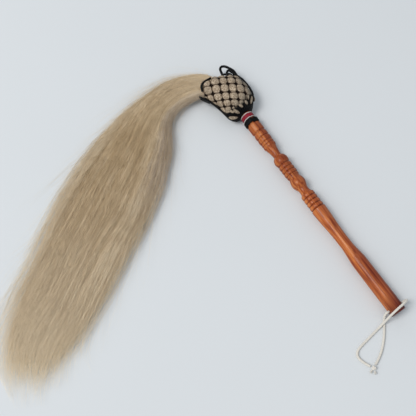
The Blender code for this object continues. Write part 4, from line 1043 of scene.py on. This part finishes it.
class WHISK_OT_hair(bpy.types.Operator):
    """Grows the hair in locks from the mouth, round the bend and out to the tips"""
    bl_idname = "whisk.hair"
    bl_label = "Hair"

    def execute(self, context):
        hair = settings("hair")
        material = hair_material()
        count = hair.strands
        order, grids = self.grow(hair, count, np.random.default_rng(21))
        parts = (
            ("root", slice(0, ROOT_RINGS), 3, ("hair_throat", "hair_roots")),
            ("tail", slice(ROOT_RINGS - 1, None), 6, ("hair_tail",)),
        )
        for label, part, pieces, nodes in parts:
            for piece, chosen in enumerate(np.array_split(order, pieces), 1):
                name = f"hair_{label}_strands_{piece}"
                thing = strand_mesh(name, material, *(grid[chosen, part] for grid in grids))
                if label == "root":
                    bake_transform(thing)
                else:
                    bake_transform(thing)
                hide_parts(*nodes)
        return {"FINISHED"}

    def grow(self, hair, count, rng):
        """Order of the strands, and for each its points, radii, tones, shares of the way and greyness."""
        flow = HairFlow()

        def normal(spread, middle=0.0):
            return rng.normal(middle, spread, (count, 1))

        def uniform(low=0.0, high=1.0):
            return rng.uniform(low, high, (count, 1))

        # Thick strands fill the middle; ever thinner ones reach past them at the edges and the tip
        kind = rng.choice(4, (count, 1), p=(0.44, 0.25, 0.25, 0.06))
        thick, filler, fringe, tips = (kind == k for k in range(4))
        end = uniform(-0.79, 0.46) + normal(1) * np.where(filler, 0.13, 0.055)
        outward = np.where(uniform() < 0.55, 1.0, -1.0)
        strays = np.where(outward > 0, 0.38 + 0.26 * np.abs(normal(1)), -0.70 - 0.17 * np.abs(normal(1)))
        strays = np.where((strays > 1.02) | (strays < -1.12), outward * uniform(0.5, 0.9), strays)
        end = np.where(fringe, strays, end)
        start = (end + 0.14) * 1.45
        start = start / (1 + start ** 4) ** 0.25 + normal(0.05)
        loose = np.where(thick, uniform(0, 0.7), uniform(0.45, 1.4))
        loose[fringe] *= 0.6
        top = uniform() < 0.76
        level = np.where(top, 1.0 - 0.5 * uniform() ** 1.3, uniform(-1, 0.6))

        lock_middles = np.sort(rng.uniform(-1.0, 1.0, hair.locks))
        nearest = np.abs(end + normal(0.015) - lock_middles).argmin(axis=1)[:, None]
        lock_phases = np.cumsum(rng.normal(0, 0.45, hair.locks))
        lock_sizes = rng.uniform(0.1, 1.0, hair.locks)
        lock_tones = rng.normal(0, 0.06, hair.locks)
        lock_ends = rng.normal(0, 0.022, hair.locks)
        lock_cool = rng.uniform(0, 1.2, hair.locks) ** 1.5
        own_phase = np.where(fringe, normal(0.8), 0)
        inward = 1 - 0.75 * unit((np.abs(end + 0.16) - 0.35) / 0.2)
        lock = lock_middles[nearest], lock_phases[nearest] + own_phase, lock_sizes[nearest] * inward

        uneven = lock_tones[nearest] + normal(0.20)
        # Strands towards the outer edge are paler, and those towards the inner edge are painted lighter: painted
        # light that offsets the shade of the inner flank
        even = 0.50 + 0.30 * unit((end - 0.35) / 0.4) + 0.26 * unit((-end - 0.35) / 0.4)

        ends = np.select((thick, filler), (0.940, 0.968), 0.995) - 0.20 * uniform() + lock_ends[nearest]
        ends -= np.where((uniform() < 0.3) & ~tips, 0.40 * uniform(), 0)
        ends = np.where(fringe, uniform(0.16, 1.0), ends)
        ends -= 0.07 * unit(np.abs(end + 0.10) - 0.4)
        ends = np.where(fringe, ends, np.clip(ends, 0.45, 1.0))
        apart = uniform(0.04, 0.12)
        steep = np.where(fringe, outward * np.abs(normal(0.16, 0.04)), normal(0.05))

        root = np.tile(np.linspace(0.0, ROOT_LENGTH, ROOT_RINGS), (count, 1))
        tail = ROOT_LENGTH + (ends * flow.total - ROOT_LENGTH) * np.linspace(0, 1, TAIL_RINGS)
        walked = np.concatenate((root, tail[:, 1:]), axis=1)
        leaving = (ends * flow.total - apart, steep)
        paths, streaked = strand_paths(flow, walked, start, end, level, lock, loose, leaving, rng)
        shares = unit(walked / flow.total)
        # Above the middle of its length the hair is combed smoother, so its tones lie closer together
        calm = np.interp(shares, (0.12, 0.24, 0.52, 0.66), (1.0, 0.5, 0.5, 1.0))
        tones = unit(even + (uneven + streaked) * calm)
        # Greyer strands run along the inside of the bend
        inner = unit((-0.60 - end) / 0.12) * unit((0.17 - np.abs(walked - 0.12)) / 0.08)
        coolness = np.clip(inner * lock_cool[nearest], 0, 0.95)
        full = hair.thickness / 2 * uniform(0.7, 1.2) * np.select((thick, filler), (1.0, 0.55), 0.42)
        radii = full * (0.45 + 0.55 * unit(walked / 0.14))
        tip = unit((ends * flow.total - walked) / 0.11)
        radii = np.maximum(radii * tip ** 0.6, 0.00002)
        return rng.permutation(count), (paths, radii, tones, shares, coolness)


# Wrist cord

class WHISK_OT_wrist_cord(bpy.types.Operator):
    """Lays the wrist cord from the handle's hole to its knot on the table"""
    bl_idname = "whisk.wrist_cord"
    bl_label = "Wrist cord"

    def execute(self, context):
        cord = settings("cord")
        cotton = yarn_material("cotton_cord_finish", cord.cotton, 0.85, 1300.0, 0.22, 0.00018, 0.3, 0.2)

        def lay(name, node, points, size=1.0, turn=cord.lay):
            rope = laid_rope(name, points, cord.diameter * size, cotton, 3, 0.16, turn)
            return place(rope, "cotton_cord", node)

        lay("cord_in_handle", "wrist_cord_in_hole", [(HOLE_X, y, 0.0) for y in np.linspace(-0.0113, 0.0113, 24)])
        knot = lay("cord_knot", "wrist_knot", self.knot(), 0.82, 0.009)
        rng = np.random.default_rng(9)
        long = self.tuft("frayed_tuft_long", "frayed_end_long", -20, cotton, rng)
        short = self.tuft("frayed_tuft_short", "frayed_end_short", -75, cotton, rng)
        for name, node, route, pieces in (
            ("cord_over_handle", "wrist_cord_over", OVER_ROUTE, [knot, long, short]),
            ("cord_beside_handle", "wrist_cord_under", UNDER_ROUTE, [knot]),
        ):
            points = spaced(route, 0.0009)
            lay(name, node, points)
            tuple(route[0])
            float(walked_along(points)[-1])
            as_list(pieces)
        return {"FINISHED"}

    def knot(self):
        """Route of an overhand knot: a trefoil drawn tight."""
        points = []
        for turn in np.arange(97) * 2 * math.pi / 96:
            x = math.sin(turn) + 2 * math.sin(2 * turn)
            y = math.cos(turn) - 2 * math.cos(2 * turn)
            points.append(KNOT_CENTRE + Vector((x * KNOT_SCALE, y * KNOT_SCALE, -math.sin(3 * turn) * 0.0011)))
        return points

    def tuft(self, name, node, heading, cotton, rng):
        """Short untwisted end of the cord, as a tuft of thin yarns."""
        angle = math.radians(heading)
        away = Vector((math.cos(angle), math.sin(angle), -0.12)).normalized()
        side = away.cross(Vector((0, 0, 1))).normalized()
        rise = side.cross(away)
        bm = bmesh.new()
        for _ in range(26):
            spin, spread = rng.uniform(0, 2 * math.pi), rng.random() ** 0.5
            lean = side * math.cos(spin) + rise * math.sin(spin)
            length = 0.0042 * rng.uniform(0.75, 1.1)
            route = [
                KNOT_CENTRE + away * (0.0040 + length * t) + lean * (0.0008 + 0.0014 * t ** 1.5) * spread
                for t in (0.0, 0.35, 0.7, 1.0)
            ]
            yarn = laid_rope("yarn", spaced(route, 0.0006), 0.00055, cotton, 2, 0.1, 0.004, taper=0.5, power=1)
            bm.from_mesh(yarn.data)
            bpy.data.meshes.remove(yarn.data)
        return place(finish_mesh(name, bm, cotton), "cotton_cord", node)


class WHISK_OT_binding(bpy.types.Operator):
    """Finishes the waxed binding that ties the hair to the tenon inside the head"""
    bl_idname = "whisk.binding"
    bl_label = "Root binding"

    def execute(self, context):
        waxed = yarn_material("waxed_thread_finish", (0.16, 0.11, 0.06), 0.5, 1300.0, 0.3)
        low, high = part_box("root_binding")
        points = helix(-high.x, 0.0069, 0.0010, high.x - low.x, 5, 40)
        place(laid_rope("root_tie", points, 0.0010, waxed, 2, 0.2, 0.003), "waxed_thread", "root_binding")
        return {"FINISHED"}


# Stage

def aimed(name, data, spot, aim):
    """Lamp or camera at a spot, looking along aim."""
    thing = linked(name, data)
    thing.location = spot
    thing.rotation_mode = "QUATERNION"
    thing.rotation_quaternion = aim.to_track_quat("-Z", "Y")
    return thing


class WHISK_OT_stage(bpy.types.Operator):
    """Sets the pale floor, the soft lights and the camera"""
    bl_idname = "whisk.stage"
    bl_label = "Stage and camera"

    def execute(self, context):
        stage = settings("stage")
        scene = context.scene
        bm = bmesh.new()
        bmesh.ops.create_grid(bm, x_segments=8, y_segments=8, size=4.0)
        bmesh.ops.translate(bm, verts=bm.verts, vec=STAGE_MIDDLE + Vector((0, 0, SURFACE_Z - 0.0001)))
        material, tree, shader = new_material("floor_finish", Roughness=0.9, Specular_IOR_Level=0.1)
        tint = ramp(tree, noise(tree, 3.0, 2.0), (0.3, [c * 0.985 for c in stage.floor]), (0.7, stage.floor))
        tree.links.new(tint, shader.inputs["Base Color"])
        finish_mesh("floor", bm, material)

        world = bpy.data.worlds.new("even_light")
        world.use_nodes = True
        back = world.node_tree.nodes["Background"]
        back.inputs["Color"].default_value = (0.93, 0.98, 1.03, 1.0)
        back.inputs["Strength"].default_value = stage.sky
        scene.world = world

        for name, power, width, offset, tint in (
            ("ceiling_lamp", stage.key, 2.1, Vector((-0.72, -2.4, 4.3)), (1.0, 0.975, 0.94)),
            ("window_lamp", stage.window, 3.8, Vector((-1.2, -4.3, 4.7)), (0.98, 0.99, 1.0)),
        ):
            light = bpy.data.lights.new(name, "AREA")
            light.shape = "DISK"
            light.size = width
            light.energy = power
            light.color = tint
            aimed(name, light, STAGE_MIDDLE + offset, -offset)

        camera = bpy.data.cameras.new("camera")
        camera.sensor_width = 36.0
        camera.lens = camera.sensor_width / 2 / math.tan(HALF_VIEW)
        camera.clip_start, camera.clip_end = 0.01, 50.0
        scene.camera = aimed("camera", camera, CAMERA_PLACE, CAMERA_AIM)
        scene.view_settings.view_transform = "Standard"
        return {"FINISHED"}


class WHISK_PT_panel(bpy.types.Panel):
    """Lists the whisk's makers in the sidebar"""
    bl_idname = "WHISK_PT_panel"
    bl_label = "Fly whisk"
    bl_space_type = "VIEW_3D"
    bl_region_type = "UI"
    bl_category = "Whisk"

    def draw(self, context):
        for maker in OPERATORS:
            self.layout.operator(maker.bl_idname)
        for name in POINTERS:
            group = getattr(context.scene, name)
            box = self.layout.box()
            for key in group.__annotations__:
                box.prop(group, key)


OPERATORS = (
    WHISK_OT_stage, WHISK_OT_wrist_cord, WHISK_OT_handle, WHISK_OT_windings,
    WHISK_OT_weave, WHISK_OT_black_cords, WHISK_OT_binding, WHISK_OT_hair,
)
POINTERS = {
    "whisk_wood": WhiskWoodSettings,
    "whisk_head": WhiskHeadSettings,
    "whisk_hair": WhiskHairSettings,
    "whisk_cord": WhiskCordSettings,
    "whisk_stage": WhiskStageSettings,
}


def register():
    for name, group in POINTERS.items():
        bpy.utils.register_class(group)
        setattr(bpy.types.Scene, name, PointerProperty(type=group))
    for made in (*OPERATORS, WHISK_PT_panel):
        bpy.utils.register_class(made)


def unregister():
    for made in (WHISK_PT_panel, *reversed(OPERATORS)):
        bpy.utils.unregister_class(made)
    for name, group in reversed(list(POINTERS.items())):
        delattr(bpy.types.Scene, name)
        bpy.utils.unregister_class(group)


def main():
    register()
    bpy.ops.whisk.stage()
    bpy.ops.whisk.wrist_cord()
    bpy.ops.whisk.handle()
    bpy.ops.whisk.windings()
    bpy.ops.whisk.weave()
    bpy.ops.whisk.black_cords()
    bpy.ops.whisk.binding()
    bpy.ops.whisk.hair()


if __name__ == "__main__":
    main()
